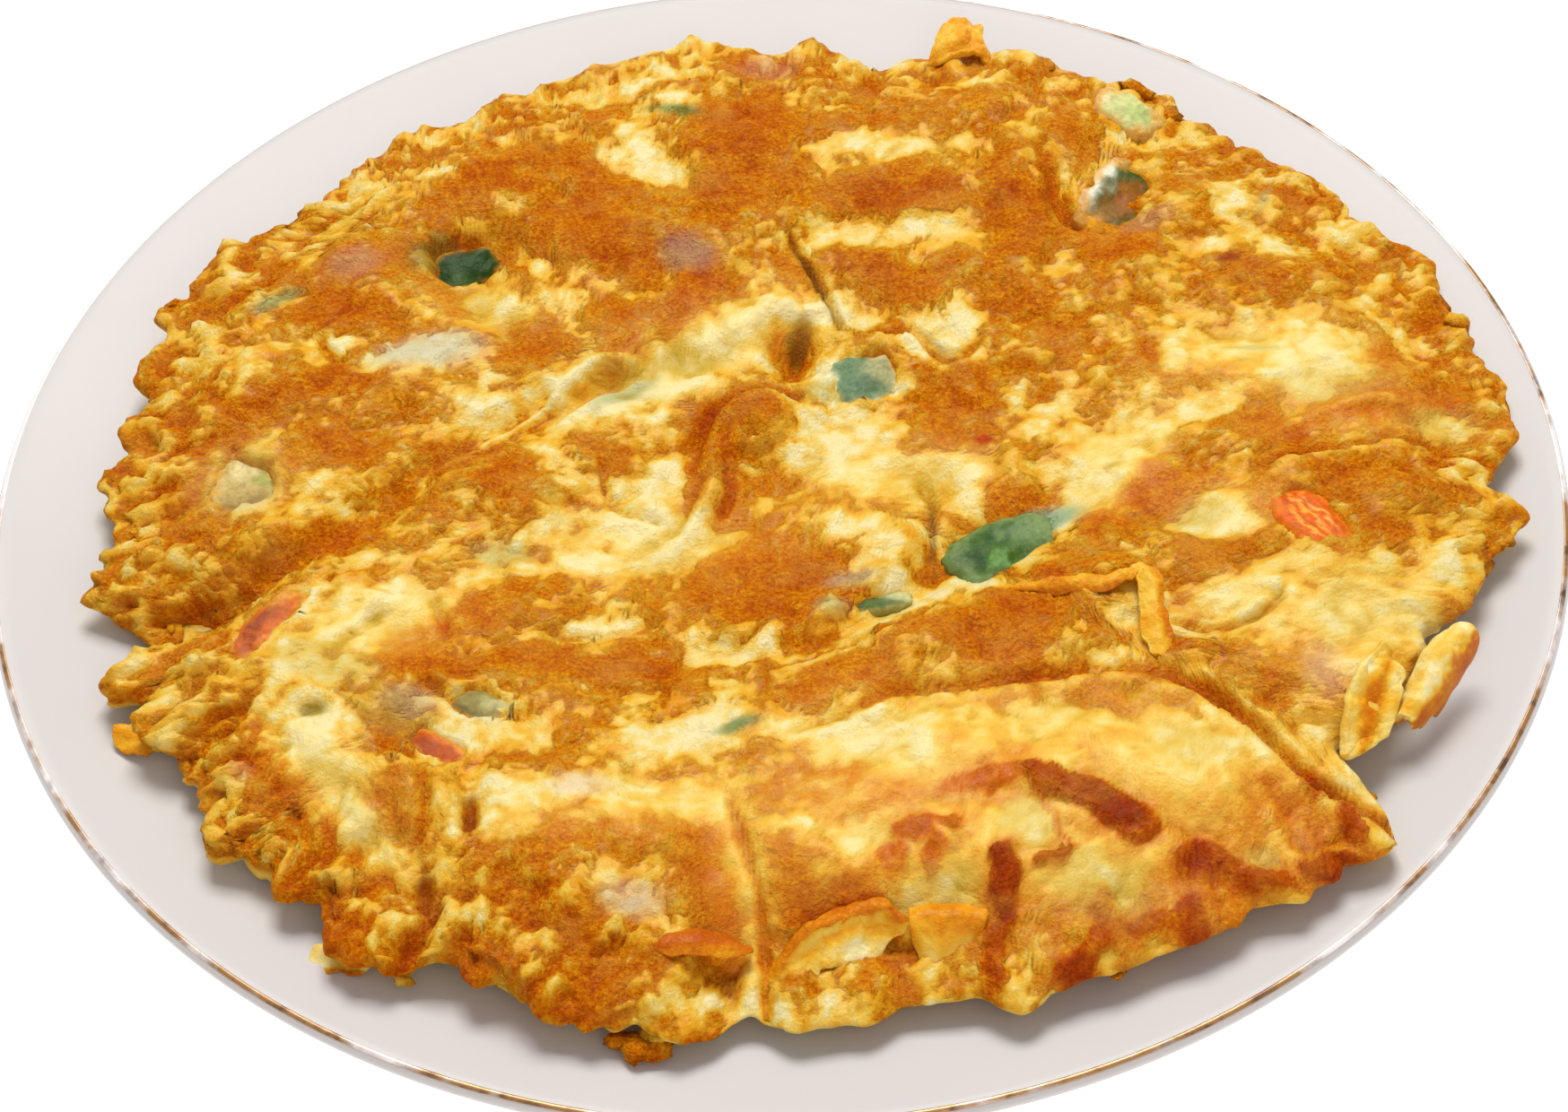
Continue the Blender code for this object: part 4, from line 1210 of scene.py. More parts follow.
@dataclass(frozen=True)
class Omelette:
    """The omelette's body: one closed skin, browned on top, ragged at its edge, with its tints and painted
    shade.

    A painted relief shade is how many cells a hollow spans, its depth in mm, and how far the browning rises
    in hollows as painted shade and falls on ridges as painted highlight. How crumbly the edge is goes with
    the bearing in degrees.
    """

    form: OmeletteForm = field(default_factory=OmeletteForm)
    browning: Browning = field(default_factory=Browning)
    pockets: tuple[Pocket, ...] = ()
    cells: int = 296
    skin_outset: float = 1.0
    edge_circle_r: float = 115.0
    ragged: Grain = Grain(21, 10.0)
    ragged_reach: float = 1.6
    nibbled: Grain = Grain(22, 5.0)
    nibbled_reach: float = 0.8
    crust_border: tuple[float, float] = (0.48, 0.60)
    crust_rise: float = 0.75
    crust_lumps: float = 0.24
    crust_grain: float = 0.12
    crumb_rise: float = 0.60
    crease_depth: float = 0.5
    wrinkle_rise: float = 1.2
    scorched_from: tuple[float, float] = (0.85, 1.15)
    scorch_rise: float = 0.4
    scorch_dryness: float = 0.8
    lumps: Grain = Grain(31, 6.5, 3)
    fine: Grain = Grain(32, 2.2, 2)
    batter: Grain = Grain(44, 9.0, 4, 0.6)
    curds: Grain = Grain(45, 5.0, 3, 0.6)
    creases: Grain = Grain(37, 9.0, 2)
    creased_places: Grain = Grain(38, 26.0)
    wrinkles: Grain = Grain(39, 10.0, 3, 0.55)
    wobble: Grain = Grain(34, 5.5, 2)
    edge_crumbs: Grain = Grain(50, 10.0, 2, 0.5)
    edge_crumb_reach: float = 4.6
    crumbly_width: float = 26.0
    broken: Grain = Grain(49, 7.0, 3, 0.7)
    broken_share: float = 0.38
    side_grain: Grain = Grain(41, 5.0, 3)
    painted_relief_shades: tuple[tuple[int, float, float], ...] = ((11, 2.6, 0.02), (5, 1.3, 0.08), (2, 0.6, 0.15))
    crumbly_painted_shade: float = 0.07
    crumbly_palest: float = 0.24
    edge_batter_rise: float = 3.2
    edge_curd_rise: float = 1.2
    edge_sink: float = 2.1
    edge_bite: float = 2.0
    outward_rise: float = 0.6
    under_level: float = 0.4
    under_edge_drop: float = 0.35
    side_swing: float = 0.2
    moist_skin: str = "#E4CE74"
    painted_hollow_olive: str = "#BC9C2C"
    moist_tint: float = 0.30
    painted_hollow_share: float = 0.75
    crumbly: tuple[tuple[float, float], ...] = (
        *((0, 0.55), (40, 0.65), (75, 0.5), (110, 0.55), (150, 0.95), (180, 1.1), (250, 1.0)),
        *((262, 0.35), (300, 0.35), (312, 0.7), (322, 0.25), (345, 0.5), (360, 0.55)),
    )
    tint_ovals: tuple[TintOval, ...] = each_of(
        TintOval,
        ("#5F8F6C", -26, 16, 7, 2.5, 35, 0.45), ("#8FA06A", -47, -20, 6, 3, 0, 0.35),
        ("#C8C8B4", -60, 27, 10, 4.5, 10, 0.6), ("#A8968A", -14, 49, 6, 4, -40, 0.5),
        ("#3F7A3A", -16, 88, 6, 1.6, -28, 0.8), ("#D8826A", 2, 103, 6, 4, 0, 0.5),
        ("#D89A7A", -74, 49, 5, 4, 0, 0.55), ("#C98A63", 69, 52, 5, 3, 20, 0.6),
        ("#A8431F", 83, 41, 2.4, 1.6, 20, 0.9), ("#C93A14", 36, 0.5, 2.2, 1.4, -10, 0.9),
        ("#9DB06A", -88, 42, 5, 1.8, 28, 0.75), ("#4E7C4A", -8, -64, 4, 1.4, 15, 0.8),
        ("#C4B0A0", -60, -55, 4, 3.5, 0, 0.45), ("#DDB4A4", -25, -98, 5, 3, 0, 0.45),
        ("#DDB9A9", -33, -76, 5, 3, 0, 0.4), ("#EED8B8", 86, -58, 4, 6, 0, 0.3),
        ("#8FBF9C", 44, -18, 6, 2.4, 25, 0.55), ("#B5C9B0", 12, -31, 5, 2, 10, 0.4),
        ("#7FA98A", 8, -37, 3, 2, 0, 0.4), ("#D97E5A", -87, -66, 2, 3, 20, 0.5),
        ("#A6AE5A", 84, 17, 5, 0.8, -5, 0.5), ("#B7C080", 91, 57, 1, 5, -20, 0.5),
        # The four dark brown ovals on the next two lines are painted shade along two slits, in the pit by the
        # hub and in a crease.
        ("#6E4A10", 8.5, 42, 13, 0.8, -69, 0.85), ("#7A5414", 5, 29, 2.4, 4.5, -15, 0.75),
        ("#7A5A1A", 25.7, -18, 9, 0.7, -92, 0.8), ("#8A6420", 30, 23, 6, 0.8, -55, 0.5),
        ("#7DA888", 46, -18, 6, 2.5, 18, 0.7), ("#6F8F5A", 9, 14, 4, 3, 0, 0.35),
        ("#2F4A1A", -60, 52, 6, 3.5, 40, 0.55), ("#C2B25A", -74, -46, 10, 5, -25, 0.35),
        ("#B9A84E", -62, -58, 9, 5, -30, 0.35), ("#B79A4A", -92, -2, 9, 8, 80, 0.45),
        # The dark olive oval that ends the next line is painted shade in the small pit at the left.
        ("#C9B45E", -70, -74, 14, 3, -55, 0.30), ("#7E6E22", -76, -56, 2.6, 1.6, -15, 0.8),
        ("#C8B254", 46, -99, 9, 6, -10, 0.35), ("#C8B254", 36, -88, 5, 4, 0, 0.40),
        ("#CDB65A", 63, -74, 8, 5, 0, 0.30), ("#C8B254", 22, -98, 6, 4, 0, 0.35),
        ("#C4B05A", 71, -94, 3, 2.4, 0, 0.45), ("#CDBB60", 96, 7, 10, 5, 0, 0.30),
        ("#C2AC54", 70, -22, 5, 4, 0, 0.40), ("#CDBB60", 114, -2, 7, 4, 0, 0.30),
        ("#D8C878", 94, -46, 12, 6, 5, 0.25), ("#8A2A0A", -50, -80, 1.2, 5, 0, 0.7),
        ("#8A2A0A", -57, -92, 1.3, 4, 0, 0.6),
    )

    def bend(self, obj: Piece) -> Skin:
        """Bends the flat square grid into the omelette's skin.

        Args:
            obj: the grid, from -1 to 1 mm each way.

        Returns:
            The skin, with top height, edge and underside, and its browning.
        """
        form = self.form
        flat = read_points(obj)
        a, b = flat[:, 0], flat[:, 1]
        b = b - form.front_crowding * (1 - b**2)
        share = np.maximum(np.abs(a), np.abs(b))
        side_on = np.abs(a) > np.abs(b)
        safe_a, safe_b = np.where(a == 0, 1, a), np.where(b == 0, 1, b)
        bearing = np.where(side_on, math.pi / 4 * b / safe_a, math.pi / 2 - math.pi / 4 * a / safe_b)
        bearing = bearing + np.where(np.where(side_on, a < 0, b < 0), math.pi, 0)
        bearing = np.where(share == 0, 0, bearing)
        circle = np.stack([np.cos(bearing), np.sin(bearing), np.zeros_like(bearing)], axis=1)
        circle = circle * self.edge_circle_r

        ragged = self.ragged_reach * self.ragged.at(circle) + self.nibbled_reach * self.nibbled.at(circle)
        reach = form.edge(bearing) + self.skin_outset + ragged
        shoulder = reach - form.edge_round
        on_top = np.clip(share / form.top_share, 0, 1) * shoulder
        turned = math.pi * np.clip((share - form.top_share) / (1 - form.top_share), 0, 1)
        beyond = turned > math.pi / 2
        tuck = np.where(beyond, form.tuck_under * (1 - np.sin(turned)), 0)
        radius = on_top + (reach - on_top) * np.sin(turned) * (turned > 0) - tuck
        radius = np.where(beyond, np.maximum(radius, form.innermost_tuck_r), radius)
        x, y = radius * np.cos(bearing), radius * np.sin(bearing)
        drop = form.edge_drop * smooth_step(0.8, 1.0, on_top / shoulder) ** 2
        high = form.top(on_top * np.cos(bearing), on_top * np.sin(bearing)) - drop
        foot = form.underside(radius) + form.edge_lift * np.sin(turned)
        z = high + (foot - high) * (1 - np.cos(turned)) / 2
        points = np.stack([x, y, np.maximum(z, foot)], axis=1)
        level, dryness = self.browning.level(points), self.browning.dryness(x, y)
        return Skin(points, turned, level, dryness, np.zeros(len(points)), np.zeros(len(points)))

    def relief(self, skin: Skin, curds: Numbers) -> Numbers:
        """Works out the crust, the wrinkles and creases of the moist skin, and the pockets.

        Args:
            skin: the smooth skin.
            curds: the rounded lumps of the curds at each point.

        Returns:
            The height that they add at each point.
        """
        points = skin.points
        flat = points * (1, 1, 0)
        scorched = smooth_step(*self.scorched_from, skin.level)
        skin.dryness = np.maximum(skin.dryness, self.scorch_dryness * scorched)
        crust = smooth_step(*self.crust_border, skin.level) * skin.dryness
        lumps, fine = self.lumps.at(points), self.fine.at(points)
        creases = np.exp(-((self.creases.at(points) / 0.13) ** 2))
        creases = creases * smooth_step(-0.1, 0.5, self.creased_places.at(flat) + 0.25)
        wrinkles = self.wrinkles.billows(points + 2.0 * lumps[:, None])
        on_crust = self.crust_rise + self.crust_lumps * lumps + self.crust_grain * fine
        height = crust * (on_crust + self.crumb_rise * (curds - 0.4))
        height = height - self.crease_depth * creases * (0.25 + 0.75 * skin.dryness)
        height = height + self.scorch_rise * scorched * (0.8 + curds)
        height = height + (1 - crust) * (self.wrinkle_rise * (wrinkles - 0.45) + 0.10 * fine)
        wobble = self.wobble.at(flat)
        for pocket in self.pockets:
            height = height + pocket.height(points[:, 0], points[:, 1], wobble)
        return height

    def roughen(self, skin: Skin) -> None:
        """Raises the relief on the skin and breaks its edge into crumbs, in place.

        Args:
            skin: the smooth skin.
        """
        points = skin.points
        x, y = points[:, 0], points[:, 1]
        curds = self.curds.billows(points)
        height = self.relief(skin, curds)
        bearing = np.arctan2(y, x)
        crumbly = np.interp(np.degrees(bearing) % 360, *zip(*self.crumbly))
        near_edge = smooth_step(-self.crumbly_width, -4, np.hypot(x, y) - self.form.edge(bearing))
        batter = self.edge_batter_rise * self.batter.billows(points) + self.edge_curd_rise * curds
        height = height + crumbly * near_edge * (batter - self.edge_sink)
        raised = points.copy()
        raised[:, 2] += height * (1 - smooth_step(0.5, 1.5, skin.turned))
        outward = points * (1, 1, 0)
        outward /= np.linalg.norm(outward, axis=1)[:, None] + 1e-9
        outward[:, 2] = np.cos(np.minimum(skin.turned, 2.2)) * self.outward_rise
        crumbs = self.edge_crumb_reach * self.edge_crumbs.billows(points) + curds - self.edge_bite
        edge = smooth_step(0.0, 1.0, skin.turned) * (1 - smooth_step(2.6, 3.1, skin.turned))
        skin.points = raised + outward * (edge * crumbly * crumbs)[:, None]
        skin.side_tone = 0.30 * np.minimum(crumbly, 1) - 0.16
        self.shade(skin, near_edge * crumbly)

    def shade(self, skin: Skin, crumbly: Numbers) -> None:
        """Paints shade into the hollows and highlight onto the ridges as browning, and breaks up the browning
        where the edge is crumbly.

        Args:
            skin: the finished skin.
            crumbly: how crumbly the egg is at each point.
        """
        top = skin.points[:, 2].reshape(self.cells + 1, self.cells + 1)
        # Painted shade and highlight: the browning rises in hollows and falls on ridges, more where the edge
        # is crumbly.
        for reach, depth, strength in self.painted_relief_shades:
            blurred = top
            for _ in range(2):
                blurred = blur(blur(blurred, reach, 0), reach, 1)
            sunk = np.clip((blurred - top).ravel() / depth, -1, 1) * (skin.turned < 1.2)
            skin.level = skin.level + (strength + self.crumbly_painted_shade * crumbly) * sunk
            skin.sunk = np.maximum(skin.sunk, sunk)
        crumbly = np.clip(crumbly, 0, 1)
        broken = 0.50 + 0.46 * self.broken.at(skin.points)
        share = self.broken_share * crumbly
        skin.level = np.maximum(skin.level * (1 - share) + broken * share, self.crumbly_palest * crumbly)

    def close(self, obj: Piece) -> None:
        """Closes the skin underneath, with two rings that follow the plate and a flat floor.

        Args:
            obj: the bent skin.
        """
        form = self.form
        bpy.ops.object.mode_set(mode="EDIT")
        bpy.ops.mesh.select_mode(type="EDGE")
        bpy.ops.mesh.select_all(action="DESELECT")
        bpy.ops.mesh.select_non_manifold()
        for ring_r in (90.0, form.plate.well_r):
            bpy.ops.mesh.extrude_edges_move()
            bpy.ops.object.mode_set(mode="OBJECT")
            points = read_points(obj)
            chosen = np.zeros(len(points), dtype=bool)
            obj.data.vertices.foreach_get("select", chosen)
            spokes = points[chosen, :2] / np.linalg.norm(points[chosen, :2], axis=1)[:, None]
            points[chosen, :2] = spokes * ring_r
            points[chosen, 2] = form.underside(np.array(ring_r))
            write_points(obj, points)
            bpy.ops.object.mode_set(mode="EDIT")
        bpy.ops.mesh.edge_face_add()
        bpy.ops.mesh.select_all(action="SELECT")
        bpy.ops.mesh.normals_make_consistent(inside=False)
        bpy.ops.object.mode_set(mode="OBJECT")

    def dress(self, obj: Piece, skin: Skin) -> None:
        """Writes the browning, the dryness and the tints, painted shade among them, at each point of the
        closed body.

        Args:
            obj: the closed body, whose first points are the skin's.
            skin: the finished skin.
        """
        count = len(skin.points)
        points = read_points(obj)
        extra = len(points) - count
        level = np.concatenate([skin.level, np.full(extra, self.under_level)])
        turned = np.concatenate([skin.turned, np.full(extra, math.pi)])
        side_tone = np.concatenate([skin.side_tone, np.zeros(extra)])
        under_edge = smooth_step(1.2, 2.4, turned)
        level = level + side_tone * smooth_step(0.2, 1.0, turned) * (1 - under_edge)
        level = level + self.side_swing * self.side_grain.at(points) * (turned > 0)
        level = level - self.under_edge_drop * under_edge
        write_level(obj, "browning", np.clip(level, 0.02, 1.6))
        write_level(obj, "dryness", np.concatenate([skin.dryness, np.ones(extra)]))
        # The moist skin's own tint turns olive in its hollows; that olive is painted shade.
        moist, hollow = (np.array(linear(colour)) for colour in (self.moist_skin, self.painted_hollow_olive))
        tints = np.tile(moist * (1, 1, 1, 0), (len(points), 1))
        sunk = np.clip(1.4 * skin.sunk, 0, 1)[:, None]
        tints[:count, :3] = (moist * (1 - sunk) + hollow * sunk)[:, :3]
        pale = 1 - 0.65 * smooth_step(0.40, 0.70, skin.level) - 0.35 * smooth_step(0.72, 0.90, skin.level)
        tints[:count, 3] = (self.moist_tint + self.painted_hollow_share * skin.sunk) * (1 - skin.dryness) * pale
        for stain_and_shade in self.tint_ovals:
            stain_and_shade.cover(tints, points[:, 0], points[:, 1])
        write_colour(obj, "stain_and_shade", tints)

    def build(self, egg: Finish) -> Piece:
        """Builds and dresses the body.

        Args:
            egg: the fried egg material.

        Returns:
            The finished piece.
        """
        deselect_all()
        bpy.ops.mesh.primitive_grid_add(x_subdivisions=self.cells, y_subdivisions=self.cells, size=2 * MM)
        body = bpy.context.object
        body.name = body.data.name = "egg_body"
        skin = self.bend(body)
        self.roughen(skin)
        write_points(body, skin.points)
        self.close(body)
        self.dress(body, skin)
        bpy.ops.object.shade_smooth()
        body.data.materials.append(egg)
        return hand_over(body, ("omelette",))


@dataclass(frozen=True)
class Sheet:
    """A thin lip or strip of egg bent through a few rails, from where it leaves the body to its free edge.

    Each rail is a line of points in mm. The side that faces up at the first rail is the fried side.
    """

    name: str
    rails: tuple[tuple[tuple[float, float, float], ...], ...]
    thickness: float = 2.2
    thinning: float = 0.65
    fried_level: float = 0.7
    inner_level: float = 0.15
    rim_level: float = 0.9
    rim_share: float = 0.25
    both_rims: bool = False
    spots_swing: float = 0.15
    dryness: float = 0.30
    taper: float = 0.45
    wave: float = 0.16
    roughness: float = 0.5
    cells: tuple[int, int] = (56, 22)
    seed: int = 1

    def lay(self, flat: Points, rails: Points) -> tuple[Points, Numbers]:
        """Lays a flat grid on the surface that runs through the rails.

        Args:
            flat: the grid's points, from -1 to 1 mm each way.
            rails: the rails, each with a point for every column of the grid.

        Returns:
            The laid points, and how far each is from the first rail, from 0 to 1.
        """
        across, along = self.cells
        column = np.rint((flat[:, 0] + 1) / 2 * across).astype(int)
        row = np.rint((flat[:, 1] + 1) / 2 * along).astype(int)
        ribs = np.array([smooth_line(tuple(map(tuple, rails[:, i])), along + 1) for i in range(across + 1)])
        at_end = np.abs(2 * column / across - 1)
        wave = Grain(self.seed + 9, 4.0, 2).at(ribs[column, -1])
        share = np.clip(row / along * (1 - self.taper * at_end**4 + self.wave * wave), 0, 1) * along
        before = np.minimum(share.astype(int), along - 1)
        step = ribs[column, before + 1] - ribs[column, before]
        points = ribs[column, before] + (share - before)[:, None] * step
        wobble = Grain(self.seed, 4.5, 3, 0.6).at(points)
        return points + self.roughness * wobble[:, None] * (0.5, 0.5, 1.0), row / along

    def build(self, egg: Finish) -> Piece:
        """Builds and dresses the sheet.

        Args:
            egg: the fried egg material.

        Returns:
            The finished piece.
        """
        deselect_all()
        across, along = self.cells
        bpy.ops.mesh.primitive_grid_add(x_subdivisions=across, y_subdivisions=along, size=2 * MM)
        sheet = bpy.context.object
        sheet.name = sheet.data.name = self.name
        rails = np.array([smooth_line(rail, across + 1) for rail in self.rails])
        points, reached = self.lay(read_points(sheet), rails)
        write_points(sheet, points)
        thinning = sheet.vertex_groups.new(name="thickness")
        for share in np.unique(reached):
            row = np.flatnonzero(reached == share).tolist()
            thinning.add(row, 1 - self.thinning * share**2, "REPLACE")
        thicken = sheet.modifiers.new("thickness", "SOLIDIFY")
        thicken.thickness = self.thickness * MM
        thicken.offset = 0
        thicken.vertex_group = thinning.name
        smooth = sheet.modifiers.new("rounded edge", "SUBSURF")
        smooth.levels = smooth.render_levels = 1
        for modifier in (thicken.name, smooth.name):
            bpy.ops.object.modifier_apply(modifier=modifier)
        self.dress(sheet, rails)
        sheet.data.materials.append(egg)
        return hand_over(sheet)

    def dress(self, sheet: Piece, rails: Points) -> None:
        """Writes the browning: the fried side, the paler inner side, and the browned free edge.

        Args:
            sheet: the finished mesh.
            rails: the rails that it was laid on.
        """
        points = read_points(sheet)
        normals = np.empty(len(points) * 3)
        sheet.data.vertex_normals.foreach_get("vector", normals)
        first, last = rails[0].mean(axis=0), rails[-1].mean(axis=0)
        face = np.cross(rails[0][-1] - rails[0][0], rails[1].mean(axis=0) - first)
        face = face / np.linalg.norm(face) * (1 if face[2] > 0 else -1)
        fried = smooth_step(-0.25, 0.25, normals.reshape(-1, 3) @ face)
        free = np.vstack([rails[-1][::4], rails[0][::4]]) if self.both_rims else rails[-1][::4]
        free_edge = np.min(np.linalg.norm(points[:, None] - free[None], axis=2), axis=1)
        reach = self.rim_share * np.linalg.norm(last - first) + self.thickness
        rim = 1 - smooth_step(0.35 * reach, reach, free_edge)
        level = self.inner_level + (self.fried_level - self.inner_level) * fried
        level = level + (self.rim_level - level) * rim
        level = level + self.spots_swing * Grain(self.seed + 5, 5.0, 4, 0.6).at(points)
        write_level(sheet, "browning", np.clip(level, 0.02, 1.6))
        write_level(sheet, "dryness", np.full(len(points), self.dryness))
        write_colour(sheet, "stain_and_shade", np.zeros((len(points), 4)))
        bpy.ops.object.shade_smooth()


SHEETS = (
    Sheet(
        "front_curl",
        (
            ((-4, -107, 21.5), (0, -103.5, 24.5), (5, -100.5, 25.8), (11, -99, 26), (15, -101.5, 24.6)),
            (
                *((-4.8, -109, 22.4), (-0.6, -105.8, 26.2), (4.8, -102.6, 27.5)),
                *((11.2, -101, 27.7), (16, -103.5, 25.8)),
            ),
            (
                *((-4.6, -110.8, 21.4), (0.4, -107.6, 24.4), (5.4, -104.4, 25.4)),
                *((11, -102.8, 25.6), (15.4, -105, 24)),
            ),
            (
                *((-3.4, -113.6, 18.8), (2, -110.6, 22), (6.4, -108, 22.8)),
                *((11.6, -107, 22.8), (14.8, -108, 21.6)),
            ),
        ),
        thickness=1.2, fried_level=0.68, rim_share=0.7, rim_level=0.14, wave=0.24, roughness=1.1,
        seed=51,
    ),
    Sheet(
        "drip",
        (
            ((16.5, -100.5, 25.2), (21, -100, 25.6), (28.5, -100.5, 25.4)),
            ((16.5, -103.5, 25.8), (21, -103.6, 26.2), (28.5, -103, 25.6)),
            ((17.5, -106.5, 22.6), (20.5, -107.8, 22.6), (26.5, -105.5, 23)),
            ((18.6, -110, 19.2), (20, -111.4, 18.4), (23.5, -107.6, 20.6)),
        ),
        thickness=1.6, fried_level=0.55, rim_level=0.18, rim_share=0.6, cells=(30, 24), seed=53,
    ),
    Sheet(
        "front_left_lip",
        (
            ((-22, -103.5, 26.2), (-15, -103, 26.4), (-7.5, -104, 23)),
            ((-22.5, -105.5, 27), (-15, -105.5, 27.4), (-7, -106, 24.8)),
            ((-22, -107.8, 26.4), (-14.5, -107.8, 26.6), (-6.5, -107.6, 24)),
        ),
        thickness=1.2, fried_level=0.85, rim_level=0.6, seed=54,
    ),
    Sheet(
        "right_lower_curl",
        (
            ((86.6, -74, 25), (87.4, -67, 28.6), (90.4, -60.6, 30.2), (95, -55, 30)),
            ((89.4, -74, 23.8), (91.6, -67.4, 26), (94, -61.4, 27.4), (97.4, -55.8, 28)),
            ((92.2, -74, 22.6), (95.6, -67.4, 25), (98, -61, 27), (99.6, -55.2, 28.8)),
        ),
        thickness=1.5, fried_level=0.66, inner_level=0.5, rim_level=0.16, rim_share=0.35,
        both_rims=True, taper=0.7, roughness=0.9, seed=55,
    ),
    Sheet(
        "right_upper_curl",
        (
            ((95.5, -66, 23), (99.5, -59.5, 25), (102.5, -55, 27), (108, -50.5, 27.5)),
            ((97.8, -67, 25), (101.8, -61, 27.2), (105.2, -56, 28.6), (110.4, -51, 28.4)),
            ((98.6, -67.5, 22.8), (103.8, -62, 24.4), (107.6, -56.8, 25.6), (111.8, -51.6, 26)),
            ((97.5, -67, 19.5), (103.5, -62.2, 20), (107.4, -57.4, 21), (111.8, -52.4, 22)),
        ),
        thickness=1.8, fried_level=0.12, inner_level=0.8, rim_level=0.66, taper=0.4, roughness=0.6,
        wave=0.1, seed=56,
    ),
    Sheet(
        "skin_thread",
        (
            ((37.2, -78, 28.6), (38, -84, 28.8), (40, -90, 28.2), (41.5, -93.5, 27.4)),
            ((37.7, -78, 29.4), (38.6, -84, 29.6), (40.6, -90, 29), (42.2, -93, 28.2)),
            ((38.2, -78, 28.6), (39.2, -84, 28.8), (41.4, -90, 28.2), (43, -92.6, 27.4)),
        ),
        thickness=0.6, fried_level=0.3, inner_level=0.3, rim_level=0.4, roughness=0.4,
        cells=(40, 6), seed=63,
    ),
    Sheet(
        "back_curl",
        (
            ((33, 102, 24.4), (39, 103, 25), (45, 101, 24.6)),
            ((34, 106, 25.5), (39.5, 107, 26.5), (45, 104.5, 25.5)),
            ((35, 111, 25.8), (40, 111.5, 26.8), (45, 108, 25.6)),
            ((35.5, 114.5, 23.5), (40.5, 115, 24), (45.5, 110.5, 23.5)),
        ),
        thickness=1.5, fried_level=0.4, inner_level=0.3, rim_level=0.35, roughness=1.3, wave=0.3,
        seed=57,
    ),
    Sheet(
        "torn_wedge",
        (
            ((37.5, -36, 26.6), (44, -36, 27.6), (51, -36.6, 28.4), (57, -36, 28.8)),
            ((37.5, -37, 27.2), (44, -37.6, 28.5), (51, -38.4, 29.5), (58, -37.4, 30.2)),
            ((38, -38.0, 26.5), (44, -39.2, 27.2), (51, -40.2, 28.2), (58, -40, 29.0)),
        ),
        thickness=0.9, fried_level=0.50, inner_level=0.4, rim_level=0.75, rim_share=0.4,
        roughness=0.8, cells=(48, 12), seed=58,
    ),
    Sheet(
        "torn_ribbon",
        (
            ((57, -35.5, 29.2), (57.6, -39, 29.8), (57.8, -44, 29.2), (57.2, -48.5, 28), (58.8, -53.5, 26.8)),
            ((59, -35, 30.4), (60, -39.5, 30.8), (60, -44.5, 30), (60, -48.5, 28.8), (61, -54, 27.6)),
            ((60.4, -35.4, 29.6), (62.4, -40, 30.2), (62, -45, 29.2), (62.8, -49, 28), (63.2, -52.5, 27)),
        ),
        thickness=0.8, fried_level=0.34, inner_level=0.3, rim_level=0.66, rim_share=0.35,
        roughness=0.8, cells=(40, 16), seed=59,
    ),
    Sheet(
        "left_ring_curl",
        (
            (
                *((-77, -80, 19.5), (-79.5, -82, 18.5), (-84, -81, 18)),
                *((-86.5, -78, 19), (-85.5, -75, 20.5), (-81, -73.5, 22)),
            ),
            (
                *((-76.5, -80, 23.5), (-79.5, -82.5, 23), (-84, -81.5, 22.5)),
                *((-86.5, -78, 23.5), (-85.5, -75, 25), (-81, -73, 26)),
            ),
        ),
        thickness=2.2, fried_level=0.7, inner_level=0.2, rim_level=0.8, roughness=0.8,
        cells=(40, 10), seed=60,
    ),
    Sheet(
        "edge_shard",
        (
            ((-75, -96, 18.2), (-70, -95.5, 18.6), (-65.5, -98, 18.6)),
            ((-75.5, -98.5, 17.6), (-70.5, -98.5, 18), (-66, -100.5, 18)),
            ((-74.5, -101, 17.2), (-70.5, -101.8, 17.4), (-66.5, -102.5, 17.6)),
        ),
        thickness=0.6, fried_level=0.2, inner_level=0.4, rim_level=0.8, roughness=0.8,
        cells=(24, 10), seed=61,
    ),
    Sheet(
        "left_shard",
        (
            ((-110, -50.5, 19), (-106, -50, 20), (-102, -52, 19)),
            ((-110, -53, 18.2), (-106, -53.5, 18.8), (-102.5, -54.5, 18.2)),
            ((-108, -55.5, 17.6), (-105.5, -56, 17.8), (-103, -56, 17.6)),
        ),
        thickness=1.2, fried_level=0.40, rim_level=0.60, cells=(24, 10), roughness=1.0, taper=0.7,
        seed=62,
    ),
)


